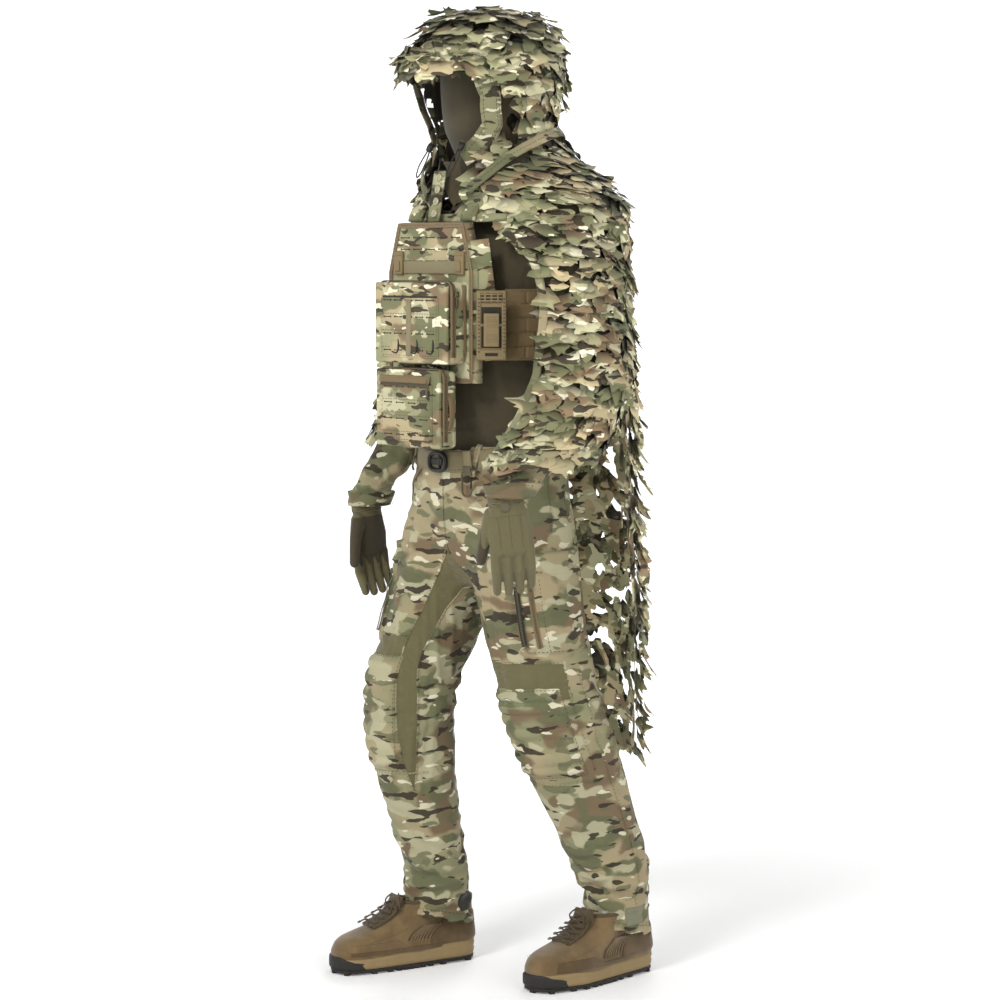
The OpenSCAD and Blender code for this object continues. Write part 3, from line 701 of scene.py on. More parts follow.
YOKE = Form([(25, 40, 1442, 240, 198, 158), (25, 42, 1500, 232, 190, 150), (16, 42, 1545, 186, 164, 148),
             (8, 34, 1590, 134, 126, 146), (0, 28, 1632, 112, 106, 134)])
BACK = Form([(0, 46, 1120, 266, 220), (0, 44, 1240, 266, 216), (0, 42, 1360, 264, 206), (0, 40, 1448, 262, 199)])
SLEEVE_LEFT = Form([(286, -100, 1036, 78, 110), (283, -52, 1110, 83, 110), (270, -22, 1194, 94, 118, 134),
                    (240, -4, 1300, 94, 106, 126), (210, 8, 1372, 100, 104, 128), (168, 15, 1439, 92, 106, 138)])
SLEEVE_RIGHT = Form([(-272, 42, 1036, 78, 98), (-268, 62, 1110, 80, 96), (-258, 68, 1194, 90, 98),
                     (-238, 66, 1300, 92, 94), (-212, 60, 1372, 92, 90), (-170, 44, 1439, 90, 92)])
TAIL = Form([(0, 60, 408, 270, 224), (0, 60, 500, 270, 225), (0, 60, 700, 270, 225), (0, 58, 810, 270, 224),
             (0, 52, 960, 268, 222), (0, 46, 1130, 266, 220)])


def seam_height(x, y):
    """Height of the V-shaped seam between the hood and the yoke."""
    return 1.465 + 0.637 * abs(x) + 0.49 * (y + 0.126)


# ---------------------------------------------------------------- cloth simulation
def remeshed(name, parts, voxel, smooth=6):
    """The union of closed tubes as one even mesh."""
    verts, faces = joined(parts)
    mesh = bpy.data.meshes.new(name)
    mesh.from_pydata([tuple(v) for v in verts], [], faces)
    thing = bpy.data.objects.new(name, mesh)
    bpy.context.collection.objects.link(thing)
    remesh = thing.modifiers.new("remesh", "REMESH")
    remesh.mode = "VOXEL"
    remesh.voxel_size = voxel
    even = thing.modifiers.new("even", "SMOOTH")
    even.factor = 0.5
    even.iterations = smooth
    return bake(thing)


def bake(thing):
    """Replaces an object's mesh by its evaluated one, with no modifiers left."""
    graph = bpy.context.evaluated_depsgraph_get()
    mesh = bpy.data.meshes.new_from_object(thing.evaluated_get(graph))
    thing.modifiers.clear()
    thing.data = mesh
    return thing


def cut(thing, keep):
    """Keeps only the faces whose middle passes the test."""
    shape = bmesh.new()
    shape.from_mesh(thing.data)
    gone = [f for f in shape.faces if not keep(f.calc_center_median())]
    bmesh.ops.delete(shape, geom=gone, context="FACES")
    loose = [v for v in shape.verts if not v.link_faces]
    bmesh.ops.delete(shape, geom=loose, context="VERTS")
    shape.to_mesh(thing.data)
    shape.free()


def drape(thing, wearer, hold, spare, frames, grow=(0.02, 0.16), cap=0.03, stiff=16.0, bend=0.5):
    """Lets a garment fall over its wearer. hold(point) says how firmly a point is held and spare(point)
    how much of the spare cloth it has, both 0 to 1; grow is the least and most that the cloth grows."""
    start = np.array([v.co[:] for v in thing.data.vertices])
    for name, rule in (("held", hold), ("spare", spare)):
        group = thing.vertex_groups.new(name=name)
        for index, co in enumerate(start):
            value = rule(co)
            if value > 0:
                group.add([index], min(value, 1.0), "REPLACE")
    wearer.modifiers.new("collision", "COLLISION")
    wearer.collision.thickness_outer = 0.002
    wearer.collision.cloth_friction = 15.0
    sim = thing.modifiers.new("cloth", "CLOTH")
    sim.settings.quality = 5
    sim.settings.mass = 0.22
    sim.settings.tension_stiffness = stiff
    sim.settings.compression_stiffness = stiff
    sim.settings.shear_stiffness = stiff * 0.4
    sim.settings.bending_stiffness = bend
    sim.settings.air_damping = 2.0
    sim.settings.vertex_group_mass = "held"
    sim.settings.pin_stiffness = 1.0
    sim.settings.vertex_group_shrink = "spare"
    sim.settings.shrink_min = -grow[0]
    sim.settings.shrink_max = -grow[1]
    sim.collision_settings.distance_min = 0.002
    sim.point_cache.frame_start = 1
    sim.point_cache.frame_end = frames
    scene = bpy.context.scene
    scene.frame_start, scene.frame_end = 1, frames
    for number in range(1, frames + 1):
        scene.frame_set(number)
    bake(thing)
    scene.frame_set(1)
    end = np.array([v.co[:] for v in thing.data.vertices])
    move = end - start
    far = np.linalg.norm(move, axis=1)
    limit = cap * np.tanh(far / cap) / np.maximum(far, 1e-9)
    thing.data.vertices.foreach_set("co", (start + move * limit[:, None]).ravel())
    bpy.data.objects.remove(wearer)
    return thing


def settle(thing, smooth=2):
    """Smooths and subdivides a simulated garment, and moves it to the model's frame."""
    thing.vertex_groups.clear()
    even = thing.modifiers.new("even", "SMOOTH")
    even.factor = 0.4
    even.iterations = smooth
    finer = thing.modifiers.new("finer", "SUBSURF")
    finer.levels = finer.render_levels = 1
    bake(thing)
    thing.data.materials.clear()
    thing.data.polygons.foreach_set("use_smooth", [True] * len(thing.data.polygons))
    thing.data.transform(Matrix.Translation(Vector(SHIFT)))
    return thing


def creased(thing, height, slant):
    """Presses sharp-crested folds into a garment; height(point) is how far they stand."""
    for corner, normal in [(v, v.normal.copy()) for v in thing.data.vertices]:
        p = corner.co - Vector(SHIFT)
        drift = noise.noise(p * 6.0) * 1.6
        wave = noise.noise(Vector((p.x * 8, p.y * 8, (p.z + slant * (p.x - p.y)) * 24 + drift)))
        small = noise.noise(Vector((p.x * 22, p.y * 22, p.z * 50 + drift)))
        corner.co += normal * height(p) * (0.9 - 2.6 * abs(wave) + 0.5 * small)


def dress(thing, materials, choose):
    """Gives each face one of the materials; choose(middle) returns its number."""
    for material in materials:
        thing.data.materials.append(material)
    for face in thing.data.polygons:
        face.material_index = choose(np.array(face.center[:]) - SHIFT)


def around(form, p):
    """The angle of a point round a form, in degrees from the front towards +X."""
    r = form.ring(p[2])
    across, along = (p[0] - r[0]) / r[3], -(p[1] - r[1])
    return math.degrees(math.atan2(across, along / (r[5] if along > 0 else r[4])))


WAIST_TILT = math.tan(math.radians(18))


def waist_top(y):
    return 1.072 + (y - 0.005) * WAIST_TILT


def hem_low(x, y):
    middle = 0.110 if x > 0 else -0.094
    return 0.104 - (y - middle) * math.tan(math.radians(12))


# The stretch panel on each leg's inside: height, then its two edges' angles from the front.
PANEL = np.array([(0.36, 47, 49), (0.42, 40, 60), (0.50, 37, 67), (0.55, 36, 66), (0.60, 33, 60),
                  (0.645, 30, 58), (0.69, 32, 62), (0.72, 36, 66), (0.80, 46, 86), (0.86, 52, 100)])
BANDS = {1: (0.560, 0.632), -1: (0.612, 0.668)}         # the stretch bands above the knees


def trouser_cloth(p):
    """0 for camouflage, 1 for stretch cloth."""
    side = 1 if p[0] > 0 else -1
    if p[2] > 0.86 or p[2] < 0.36:
        return 0
    angle = around(LEG_LEFT if side > 0 else LEG_RIGHT, p) * -side
    low, high = np.interp(p[2], PANEL[:, 0], PANEL[:, 1]), np.interp(p[2], PANEL[:, 0], PANEL[:, 2])
    if low < angle < high:
        return 1
    return 1 if BANDS[side][0] < p[2] < BANDS[side][1] and -76 < angle < low else 0


def bell(x, middle, width):
    return math.exp(-((x - middle) / width) ** 2)


def trousers():
    parts = [tube_mesh(f, 48, 0.014) for f in (LEG_LEFT, LEG_RIGHT, SEAT)]
    thing = remeshed("trousers_cloth", parts, 0.0085)
    cut(thing, lambda c: c.z < waist_top(c.y) and (c.z > 0.3 or c.z > hem_low(c.x, c.y)))
    slim = [tube_mesh(LEG_LEFT.grown(-12), 32, 0.02), tube_mesh(LEG_RIGHT.grown(-12), 32, 0.02),
            tube_mesh(SEAT.grown(-5), 32, 0.02)]
    wearer = remeshed("wearer_legs", slim, 0.014)

    def hold(p):
        if p[2] > waist_top(p[1]) - 0.03:
            return 1.0
        return 0.9 if p[2] < hem_low(p[0], p[1]) + 0.014 else 0.0

    def spare(p):
        knee = 0.50 if p[0] > 0 else 0.53
        behind = 1.0 if around(LEG_LEFT if p[0] > 0 else LEG_RIGHT, p) ** 2 > 70 ** 2 else 0.35
        ankle, hip = bell(p[2], 0.20, 0.09), bell(p[2], 0.84, 0.08)
        return max(ankle, 0.6 * behind * bell(p[2], knee, 0.09), 0.45 * hip)

    def folds(p):
        behind = 1.0 if abs(around(LEG_LEFT if p[0] > 0 else LEG_RIGHT, p)) > 70 else 0.4
        knee = 0.50 if p[0] > 0 else 0.53
        high = 0.0018 + 0.0062 * bell(p[2], 0.19, 0.08) + 0.004 * behind * bell(p[2], knee, 0.10)
        return high + 0.003 * bell(p[2], 0.84, 0.08) if p[2] < 0.93 else 0.0012

    drape(thing, wearer, hold, spare, 34, cap=0.026)
    settle(thing)
    creased(thing, folds, 0.35)
    dress(thing, (CAMO, STRETCH), trouser_cloth)
    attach(thing, "suit")
    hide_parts("trousers")
    return thing


def shirt():
    parts = [tube_mesh(f, 48, 0.014) for f in (TORSO, ARM_LEFT, ARM_RIGHT)]
    thing = remeshed("shirt_cloth", parts, 0.0085)
    cut(thing, lambda c: 0.99 < c.z < 1.548 if abs(c.x) < 0.2
        else c.z > (0.965 if c.x > 0 else 0.905))
    slim = [tube_mesh(TORSO.grown(-6), 32, 0.02), tube_mesh(ARM_LEFT.grown(-13), 32, 0.02),
            tube_mesh(ARM_RIGHT.grown(-13), 32, 0.02)]
    wearer = remeshed("wearer_trunk", slim, 0.014)

    def hold(p):
        if abs(p[0]) < 0.2:
            return 1.0 if p[2] < 1.03 or p[2] > 1.5 else 0.0
        return 0.9 if p[2] < (0.985 if p[0] > 0 else 0.925) else 0.0

    def spare(p):
        if abs(p[0]) < 0.2:
            return 0.1
        return max(bell(p[2], 1.04 if p[0] > 0 else 0.98, 0.07), 0.5 * bell(p[2], 1.16, 0.06))

    drape(thing, wearer, hold, spare, 28, cap=0.02)
    settle(thing)
    creased(thing, lambda p: 0.0014 if abs(p[0]) < 0.2 else 0.0026, 0.2)
    sleeves = thing.copy()
    sleeves.data = thing.data.copy()
    bpy.context.collection.objects.link(sleeves)
    sleeves.name = "shirt_sleeves"

    def on_arm(c):
        return abs(c.x - SHIFT[0]) > 0.2 and c.z < 1.33

    cut(thing, lambda c: not on_arm(c))
    cut(sleeves, on_arm)
    thing.data.materials.append(SHIRT_SHADED)
    dress(sleeves, (CAMO, SHIRT_SHADED), lambda p: 1 if p[2] > 1.16 else 0)
    for one, slot, nodes in ((thing, "olive_stretch_cloth", ("shirt_body",)),
                             (sleeves, "camo_cloth", ("shirt_sleeve_left", "shirt_sleeve_right"))):
        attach(one, "suit")
        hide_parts(*nodes)
    return thing, sleeves


TROUSERS = trousers()
SHIRT_BODY, SHIRT_SLEEVES = shirt()


class Skin:
    """A simulated garment's surface, found by angle and height about its form."""

    def __init__(self, form, thing):
        self.form = form
        corners = [np.array(v.co[:]) - SHIFT for v in thing.data.vertices]
        sides = [tuple(p.vertices) for p in thing.data.polygons]
        self.tree = BVHTree.FromPolygons([tuple(c) for c in corners], sides)

    def at(self, angle, z, out=0.0):
        """(point, outward normal) on the garment."""
        p, u, d, n = self.form.axes(angle, z)
        hit, normal, index, far = self.tree.ray_cast(Vector(p + n * 0.035), Vector(-n), 0.07)
        if hit is None:
            return p + n * out, n
        return np.array(hit) + n * out, n

    def route(self, stops, out=0.0, step=0.008):
        """Points and normals along a line through (angle, height) stops."""
        points, normals = [], []
        for (a0, z0), (a1, z1) in zip(stops, stops[1:]):
            far = np.linalg.norm(self.form.at(a1, z1) - self.form.at(a0, z0))
            count = max(2, int(far / step))
            for i in range(count):
                p, n = self.at(a0 + (a1 - a0) * i / count, z0 + (z1 - z0) * i / count, out)
                points.append(p)
                normals.append(n)
        p, n = self.at(*stops[-1], out)
        return points + [p], normals + [n]


def rounded(share):
    """0 to 1 along a quarter circle, for a rounded edge."""
    rim = min(1.0, share)
    return math.sqrt(rim * (2 - rim))


def panel(skin, angles, heights, height, nu=26, nv=22):
    """A raised panel on a garment; height(u, v) says how far it stands out."""
    verts = []
    a0, a1 = angles
    for j in range(nv + 1):
        v = j / nv
        z = heights[0] + (heights[1] - heights[0]) * v
        for i in range(nu + 1):
            u = i / nu
            out = -0.003 + (height(u, v) + 0.004) * rounded(9 * min(u, 1 - u, v, 1 - v))
            verts.append(skin.at(a0 + (a1 - a0) * u, z, out)[0])
    return verts, grid_faces(nv + 1, nu + 1, ring=False)


# ---------------------------------------------------------------- trouser details
SKIN = {1: Skin(LEG_LEFT, TROUSERS), -1: Skin(LEG_RIGHT, TROUSERS)}
HIPS = Skin(SEAT, TROUSERS)
SLEEVE_SKIN = {1: Skin(ARM_LEFT, SHIRT_SLEEVES), -1: Skin(ARM_RIGHT, SHIRT_SLEEVES)}
TRUNK = Skin(TORSO, SHIRT_BODY)
SIDES = {1: "left", -1: "right"}


def knee_pads():
    """Padded knee panels with sewn channels across them."""
    for side, z, half, a0, a1 in ((1, 0.497, 0.087, -50, 64), (-1, 0.516, 0.116, -64, 36)):
        skin = SKIN[side]

        def quilted(u, v):
            rib = abs(math.sin(math.pi * 7 * v)) ** 0.6 if 0.05 < v < 0.95 else 0.3
            return 0.0035 + 0.0058 * rib * (1 - (2 * u - 1) ** 6)

        pad = piece(f"knee_panel_{SIDES[side]}", panel(skin, (a0, a1), (z - half, z + half), quilted, 34, 64),
                    CAMO, slot="camo_cloth", stands_for=(f"knee_pad_{SIDES[side]}",))
        lines = []
        for k in range(8):
            level = z - half + 2 * half * (0.02 + 0.96 * k / 7)
            lines.append(stitches(*skin.route([(a0 + 3, level), (a1 - 3, level)], 0.006)))
        for a in (a0 + 3, a1 - 3):
            lines.append(stitches(*skin.route([(a, z + 0.004 - half), (a, z + half - 0.004)], 0.007)))
        piece(f"knee_stitching_{SIDES[side]}", joined(lines), THREAD, slot="camo_cloth", smooth=False)


def thigh_pockets():
    """Bellows pockets with a zip down the middle and a second one on the front edge."""
    for side, a0, a1 in ((1, 34, 124), (-1, -124, -34)):
        skin, name = SKIN[side], SIDES[side]

        def puffed(u, v):
            return 0.006 + 0.006 * (1 - (2 * u - 1) ** 4) * (1 - (2 * v - 1) ** 4)

        bag = panel(skin, (a0, a1), (0.648, 0.834), puffed, 40, 36)
        piece(f"thigh_pouch_{name}", bag, CAMO, slot="camo_cloth", stands_for=(f"thigh_pocket_{name}",))
        flap = panel(skin, (a0 - 2, a1 + 2), (0.798, 0.846), lambda u, v: 0.0135 - 0.002 * v, 40, 10)
        piece(f"thigh_flap_{name}", flap, CAMO, slot="camo_cloth")
        zips = [((52 * side, 0.782), (52 * side, 0.664)), ((38 * side, 0.775), (36 * side, 0.668))]
        for number, stops in enumerate(zips):
            tape, teeth = zipper(*skin.route(stops, 0.0128), tape=0.011, teeth=0.004)
            piece(f"thigh_zip_tape_{name}_{number}", tape, DARK_CLOTH_AND_SHADE if number else TAPE, slot="olive_webbing")
            piece(f"thigh_zip_teeth_{name}_{number}", teeth, OLIVEP, slot="olive_plastic", smooth=False)
        spot, n = skin.at(52 * side, 0.774, 0.0178)
        slider = f"thigh_zip_slider_{name}"
        piece(f"thigh_zip_pull_{name}", pull(spot, 52 * side), ZIPM, slider, "olive_metal", stands_for=(slider,))
        lines = [stitches(*skin.route([(a0 + 4, z), (a1 - 4, z)], 0.0125)) for z in (0.656, 0.805)]
        lines += [stitches(*skin.route([(a, 0.655), (a, 0.80)], 0.0125)) for a in (a0 + 4, 62 * side, a1 - 5)]
        piece(f"thigh_stitching_{name}", joined(lines), THREAD, slot="camo_cloth", smooth=False)


def seams():
    """Felled seams: a low ridge with a row of stitches, along the panels and down the legs."""
    ridges, rows = [], []

    def seam(skin, stops, out=0.0006):
        points, normals = skin.route(stops, out)
        ridges.append(ribbon(points, normals, 0.0032, 0.0012))
        rows.append(stitches([p + n * 0.0008 for p, n in zip(points, normals)], normals))

    for side in (1, -1):
        skin = SKIN[side]
        for column in (1, 2):
            seam(skin, [(-side * row[column], row[0]) for row in PANEL])
        low, high = BANDS[side]
        for z in (low, high):
            edge = np.interp(z, PANEL[:, 0], PANEL[:, 1])
            seam(skin, [(76 * side, z), (-side * edge, z)])
        seam(skin, [(92 * side, 0.135), (92 * side, 0.40), (98 * side, 0.62)])
        seam(skin, [(128 * side, 0.64), (128 * side, 0.84), (108 * side, 0.96)])
        seam(skin, [(-150 * side, 0.14), (-150 * side, 0.82)])
        seam(skin, [(74 * side, 0.42), (74 * side, 0.58)])
        seam(skin, [(a, 0.398) for a in range(-70, 80, 12)])
        hem = [(a, hem_low(0.1 * side, skin.form.at(a, 0.11)[1]) + 0.016) for a in range(-180, 181, 12)]
        rows.append(stitches(*skin.route(hem, 0.0006)))
    seam(HIPS, [(0, 1.03), (2, 0.90), (0, 0.83)])
    seam(HIPS, [(180, 1.06), (180, 0.84)])
    for side in (1, -1):
        seam(HIPS, [(24 * side, 1.00), (42 * side, 0.97), (62 * side, 0.92)])
        seam(HIPS, [(88 * side, 1.03), (88 * side, 0.88)])
        seam(HIPS, [(118 * side, 1.04), (150 * side, 1.02), (178 * side, 0.985)])
    piece("trouser_seams", joined(ridges), CAMO, slot="camo_cloth")
    piece("trouser_stitching", joined(rows), THREAD, slot="camo_cloth", smooth=False)
    for side in (1, -1):
        points, normals = HIPS.route([(24 * side, 0.998), (42 * side, 0.968), (60 * side, 0.922)], 0.0015)
        edge = ribbon(points, normals, 0.010, 0.0025)
        piece(f"hip_pocket_edge_{SIDES[side]}", edge, TAPE, slot="olive_webbing")


def ankle_tabs():
    """Hook-and-loop tabs that gather the hems."""
    for side, a0, a1, material in ((1, 66, 106, GREYPILE), (-1, 100, 140, PILE)):
        strap = panel(SKIN[side], (a0, a1), (0.104, 0.142), lambda u, v: 0.0032, 16, 10)
        tab = f"ankle_tab_{SIDES[side]}"
        piece(f"ankle_strap_{SIDES[side]}", strap, material, tab, "hook_and_loop", stands_for=(tab,))


def waist():
    """Belt, its loops, the oval buckle and the snap hook."""
    belt()
    belt_ring()
    snap_hook()


def belt():
    def middle(angle):
        p, u, d, n = SEAT.axes(angle, 1.0)
        z = 1.046 + 0.93 * (p[1] - 0.005) * WAIST_TILT
        return SEAT.at(angle, z, 0.0035), n

    loop = [middle(a) for a in range(-180, 180, 5)]
    points, normals = [p for p, n in loop], [n for p, n in loop]
    up = np.array([0, math.sin(math.radians(18)), math.cos(math.radians(18))])
    piece("belt_webbing", ribbon(points, normals, 0.040, 0.0035, closed=True), WEBBING, slot="olive_webbing",
          stands_for=("belt",))
    rows = [stitches([p + n * 0.0036 + up * k for p, n in loop], normals) for k in (-0.016, 0.016)]
    piece("belt_stitching", joined(rows), THREAD, slot="olive_webbing", smooth=False)
    tabs, marks = [], []
    for angle in (-150, -112, -72, -34, 30, 52, 74, 112, 150):
        p, n = middle(angle)
        heights = np.linspace(-0.031, 0.031, 9)
        route = [p + up * z + n * (0.0052 if abs(z) < 0.027 else 0.001) for z in heights]
        tabs.append(ribbon(route, [n] * 9, 0.012, 0.0022))
        marks.append(stitches([r + n * 0.0023 for r in route], [n] * 9))
    piece("belt_loops", joined(tabs), CAMO, slot="camo_cloth")
    piece("belt_loop_stitching", joined(marks), THREAD, slot="camo_cloth", smooth=False)


def belt_ring():
    """An oval buckle with a bar and a plain plate."""
    ring = []
    for a in circle(28):
        across, up = math.cos(a), math.sin(a)
        ring.append((0.0245 * math.copysign(abs(across) ** 0.7, across), 0,
                     0.017 * math.copysign(abs(up) ** 0.7, up)))
    frame_ring = sweep(ring, 0.0042, 10, closed=True)
    bar = moved(soft_box(0.006, 0.004, 0.036, 0.0018), (0.004, 0.001, 0))
    plate = moved(soft_box(0.034, 0.0024, 0.012, 0.001), (-0.004, 0.001, 0))
    piece("belt_ring", moved(joined([frame_ring, bar, plate]), (0, -0.1285, 1.009)), BLACKP, "belt_buckle",
          "black_plastic", stands_for=("belt_buckle",))


def snap_hook():
    """A hook with a sprung gate, hung from a short strap under the belt."""
    at, turn = np.array((0.080, -0.118, 0.948)), 28
    front = at + (0, -0.0035, 0)
    hook = [(-0.0095, 0, 0.012), (-0.0085, 0, 0.004), (-0.003, 0, -0.0005), (0.004, 0, 0.0005),
            (0.0085, 0, 0.006), (0.0095, 0, 0.012)]
    spine = [(-0.0095, 0, 0.012), (-0.0095, 0, 0.040)]
    body = joined([sweep(curve_points(hook, 5), 0.0022, 10), sweep(spine, 0.0022, 10),
                   moved(soft_box(0.022, 0.006, 0.008, 0.0025), (0, 0, 0.042)),
                   moved(soft_box(0.017, 0.004, 0.012, 0.0018), (0, 0, 0.050))])
    route = [(0, -0.0045 + 0.004 * math.cos(k), 0.052 + 0.034 * k / 3.0) for k in np.linspace(0, 3.0, 10)]
    strap = ribbon(route, [(0, -1, 0)] * 10, 0.016, 0.0022)
    piece("snap_hook", moved(body, front, turn), OLIVEP, "key_hook", "olive_metal", stands_for=("key_hook",))
    piece("snap_hook_strap", moved(strap, at, turn), WEBBING, "key_hook", "olive_webbing")
    gate = sweep([(0.0085, 0, 0.0135), (0.0085, 0, 0.036)], 0.0018, 10)
    piece("snap_gate", moved(gate, front, turn), BLACKP, "key_hook_gate", "olive_metal",
          stands_for=("key_hook_gate",))


def sleeve_cuffs():
    """Bound cuffs at the shirt's wrists, with two rows of stitching."""
    for side, z in ((1, 0.974), (-1, 0.914)):
        skin = SLEEVE_SKIN[side]
        route = [skin.at(a, z + 0.004, 0.0008) for a in range(-180, 180, 12)]
        points, normals = [p for p, n in route], [n for p, n in route]
        band = ribbon(points, normals, 0.030, 0.0022, closed=True)
        piece(f"cuff_band_{SIDES[side]}", band, CAMO, slot="camo_cloth")
        up = np.array((0, 0, 0.011))
        rows = [stitches([p + n * 0.0024 + k * up for p, n in route], normals) for k in (-1, 1)]
        piece(f"cuff_stitching_{SIDES[side]}", joined(rows), THREAD, slot="camo_cloth", smooth=False)


knee_pads()
thigh_pockets()
seams()
ankle_tabs()
waist()
sleeve_cuffs()


# ---------------------------------------------------------------- leaf-cut cloth
LEAF_LOW = np.array(cad_box[0]) - SHIFT - (0.024, 0.018, 0)
LEAF_HIGH = np.array(cad_box[1]) - SHIFT + (0.024, 0.018, 0.03)


def leaf_outline(rand, size):
    """A broad lobed flap: x across, y down, with pointed tips and hollow arcs between them."""
    tips = rand.choice((4, 5, 6, 7))
    n = tips * 5
    depth, blunt, skew = rand.uniform(0.24, 0.44), rand.uniform(0.8, 1.8), rand.uniform(0, 2 * math.pi)
    wide, tall = rand.uniform(1.05, 1.45), rand.uniform(0.8, 1.05)
    turn = rand.uniform(0, 2 * math.pi)
    reach = [rand.uniform(0.72, 1.28) for k in range(tips)]
    flat = []
    for i in range(n):
        a = 2 * math.pi * i / n
        t = (i / 5) % tips
        k = int(t)
        grown = reach[k] + (reach[(k + 1) % tips] - reach[k]) * (t - k)
        r = size * grown * (1 - depth * abs(math.sin(tips * a / 2)) ** blunt)
        a += 0.32 * math.sin(2 * a + skew)
        flat.append((wide * r * math.cos(a + turn), tall * r * math.sin(a + turn)))
    return flat


def leaf_mesh(rand, p, u, d, n, size, lift, tilt, under, curl):
    """A curled flap at a point of the cape, hinged along its upper side; an under flap is dark, as a painted shadow.
    """
    flat = leaf_outline(rand, size)
    k = len(flat)
    bow = rand.uniform(-0.12, 0.16) * curl / size
    hang = rand.uniform(-0.08, 0.22) * curl / size
    twist = rand.uniform(-0.14, 0.14) * curl
    lean = rand.uniform(-0.35, 0.35)
    u, d = u * math.cos(lean) + d * math.sin(lean), d * math.cos(lean) - u * math.sin(lean)
    # under flaps are dark as a painted shadow; top flaps get a random tone
    shade = rand.uniform(0.22, 0.42) if under else rand.uniform(0.84, 1.3)
    verts, tones_and_shade = [], []
    for scale in (0.0, 0.45, 0.8, 1.0):
        for x, y in (flat if scale else [(0.0, 0.0)]):
            x, y = x * scale, y * scale
            z = (lift + tilt * (y + size) + bow * x * x
                 + hang * max(y + 0.3 * size, 0) ** 2 + twist * x * y / size)
            # painted shade: the tone darkens towards the hinge, where the row above overlaps
            tones_and_shade.append(shade * (0.22 + 0.78 * min(1.0, max(0.0, (y + 0.75 * size) / size))))
            verts.append(np.clip(p + u * x + d * (y + size * 0.5) + n * max(z, -0.004), LEAF_LOW, LEAF_HIGH))
    faces = [(0, 1 + i, 1 + (i + 1) % k) for i in range(k)]
    for ring in range(2):
        a, b = 1 + ring * k, 1 + (ring + 1) * k
        faces += [(a + i, b + i, b + (i + 1) % k, a + (i + 1) % k) for i in range(k)]
    return verts, faces, tones_and_shade


class Flaps:
    """Gathers flaps into one piece, with a tone for each point, which holds random tone and painted shade."""

    def __init__(self):
        self.verts, self.faces, self.tones_and_shade = [], [], []

    def add(self, verts, faces, tones_and_shade):
        base = len(self.verts)
        self.verts.extend(verts)
        self.faces.extend(tuple(base + j for j in face) for face in faces)
        self.tones_and_shade.extend(tones_and_shade)

    def piece(self, name, material=None, body="suit"):
        thing = piece(name, (self.verts, self.faces), material or LEAF, body, "leaf_camo_cloth")
        thing.data.attributes.new("tone", "FLOAT", "POINT").data.foreach_set("value", self.tones_and_shade)
        return thing


def leaves(name, form, low, high, angles, allow, body="suit", size=0.022, row=0.021, pitch=0.030, lift=0.002,
           skip=0.0, seed=1, tilt=(0.06, 0.34), curl=1.0, under=0.5, material=None):
    """Staggered rows of flaps over part of a form; allow(point) says where they may be; under is the share of spots
    that also get a dark flap beneath, as a painted shadow.
    """
    rand = random.Random(seed)
    heights = list(np.arange(high, low, -0.002))
    line = [(form.at(90, z) + form.at(180, z)) / 2 for z in heights]
    run = np.cumsum([0] + [float(np.linalg.norm(b - a)) for a, b in zip(line, line[1:])])
    flaps = Flaps()
    s, index = row * 0.2, 0
    while s < run[-1]:
        z = float(np.interp(s, run, heights))
        a0, a1 = angles(z)
        r = form.ring(z)
        count = max(3, int(math.radians(abs(a1 - a0)) * (r[3] + r[4]) / 2 / pitch))
        for i in range(count):
            a = a0 + (a1 - a0) * (i + 0.5 * (index % 2) + rand.uniform(-0.25, 0.25)) / count
            p, u, d, n = form.axes(a, min(high - 0.003, z + rand.uniform(-0.25, 0.25) * row))
            if not allow(p) or rand.random() < skip:
                continue
            # dark flaps: painted shadow, laid lower and flatter beneath the flap
            for dark in (True, False):
                if dark and rand.random() > under:
                    continue
                big = size * rand.uniform(0.75, 1.25)
                tip = rand.uniform(*tilt) * (0.2 if dark else 1.0)
                spot = p + u * rand.uniform(-0.008, 0.008) + d * rand.uniform(-0.008, 0.008)
                rise = lift - 0.006 if dark else lift
                flaps.add(*leaf_mesh(rand, spot, u, d, n, big, rise, tip, dark, curl))
        s += row
        index += 1
    return flaps.piece(name, material, body)


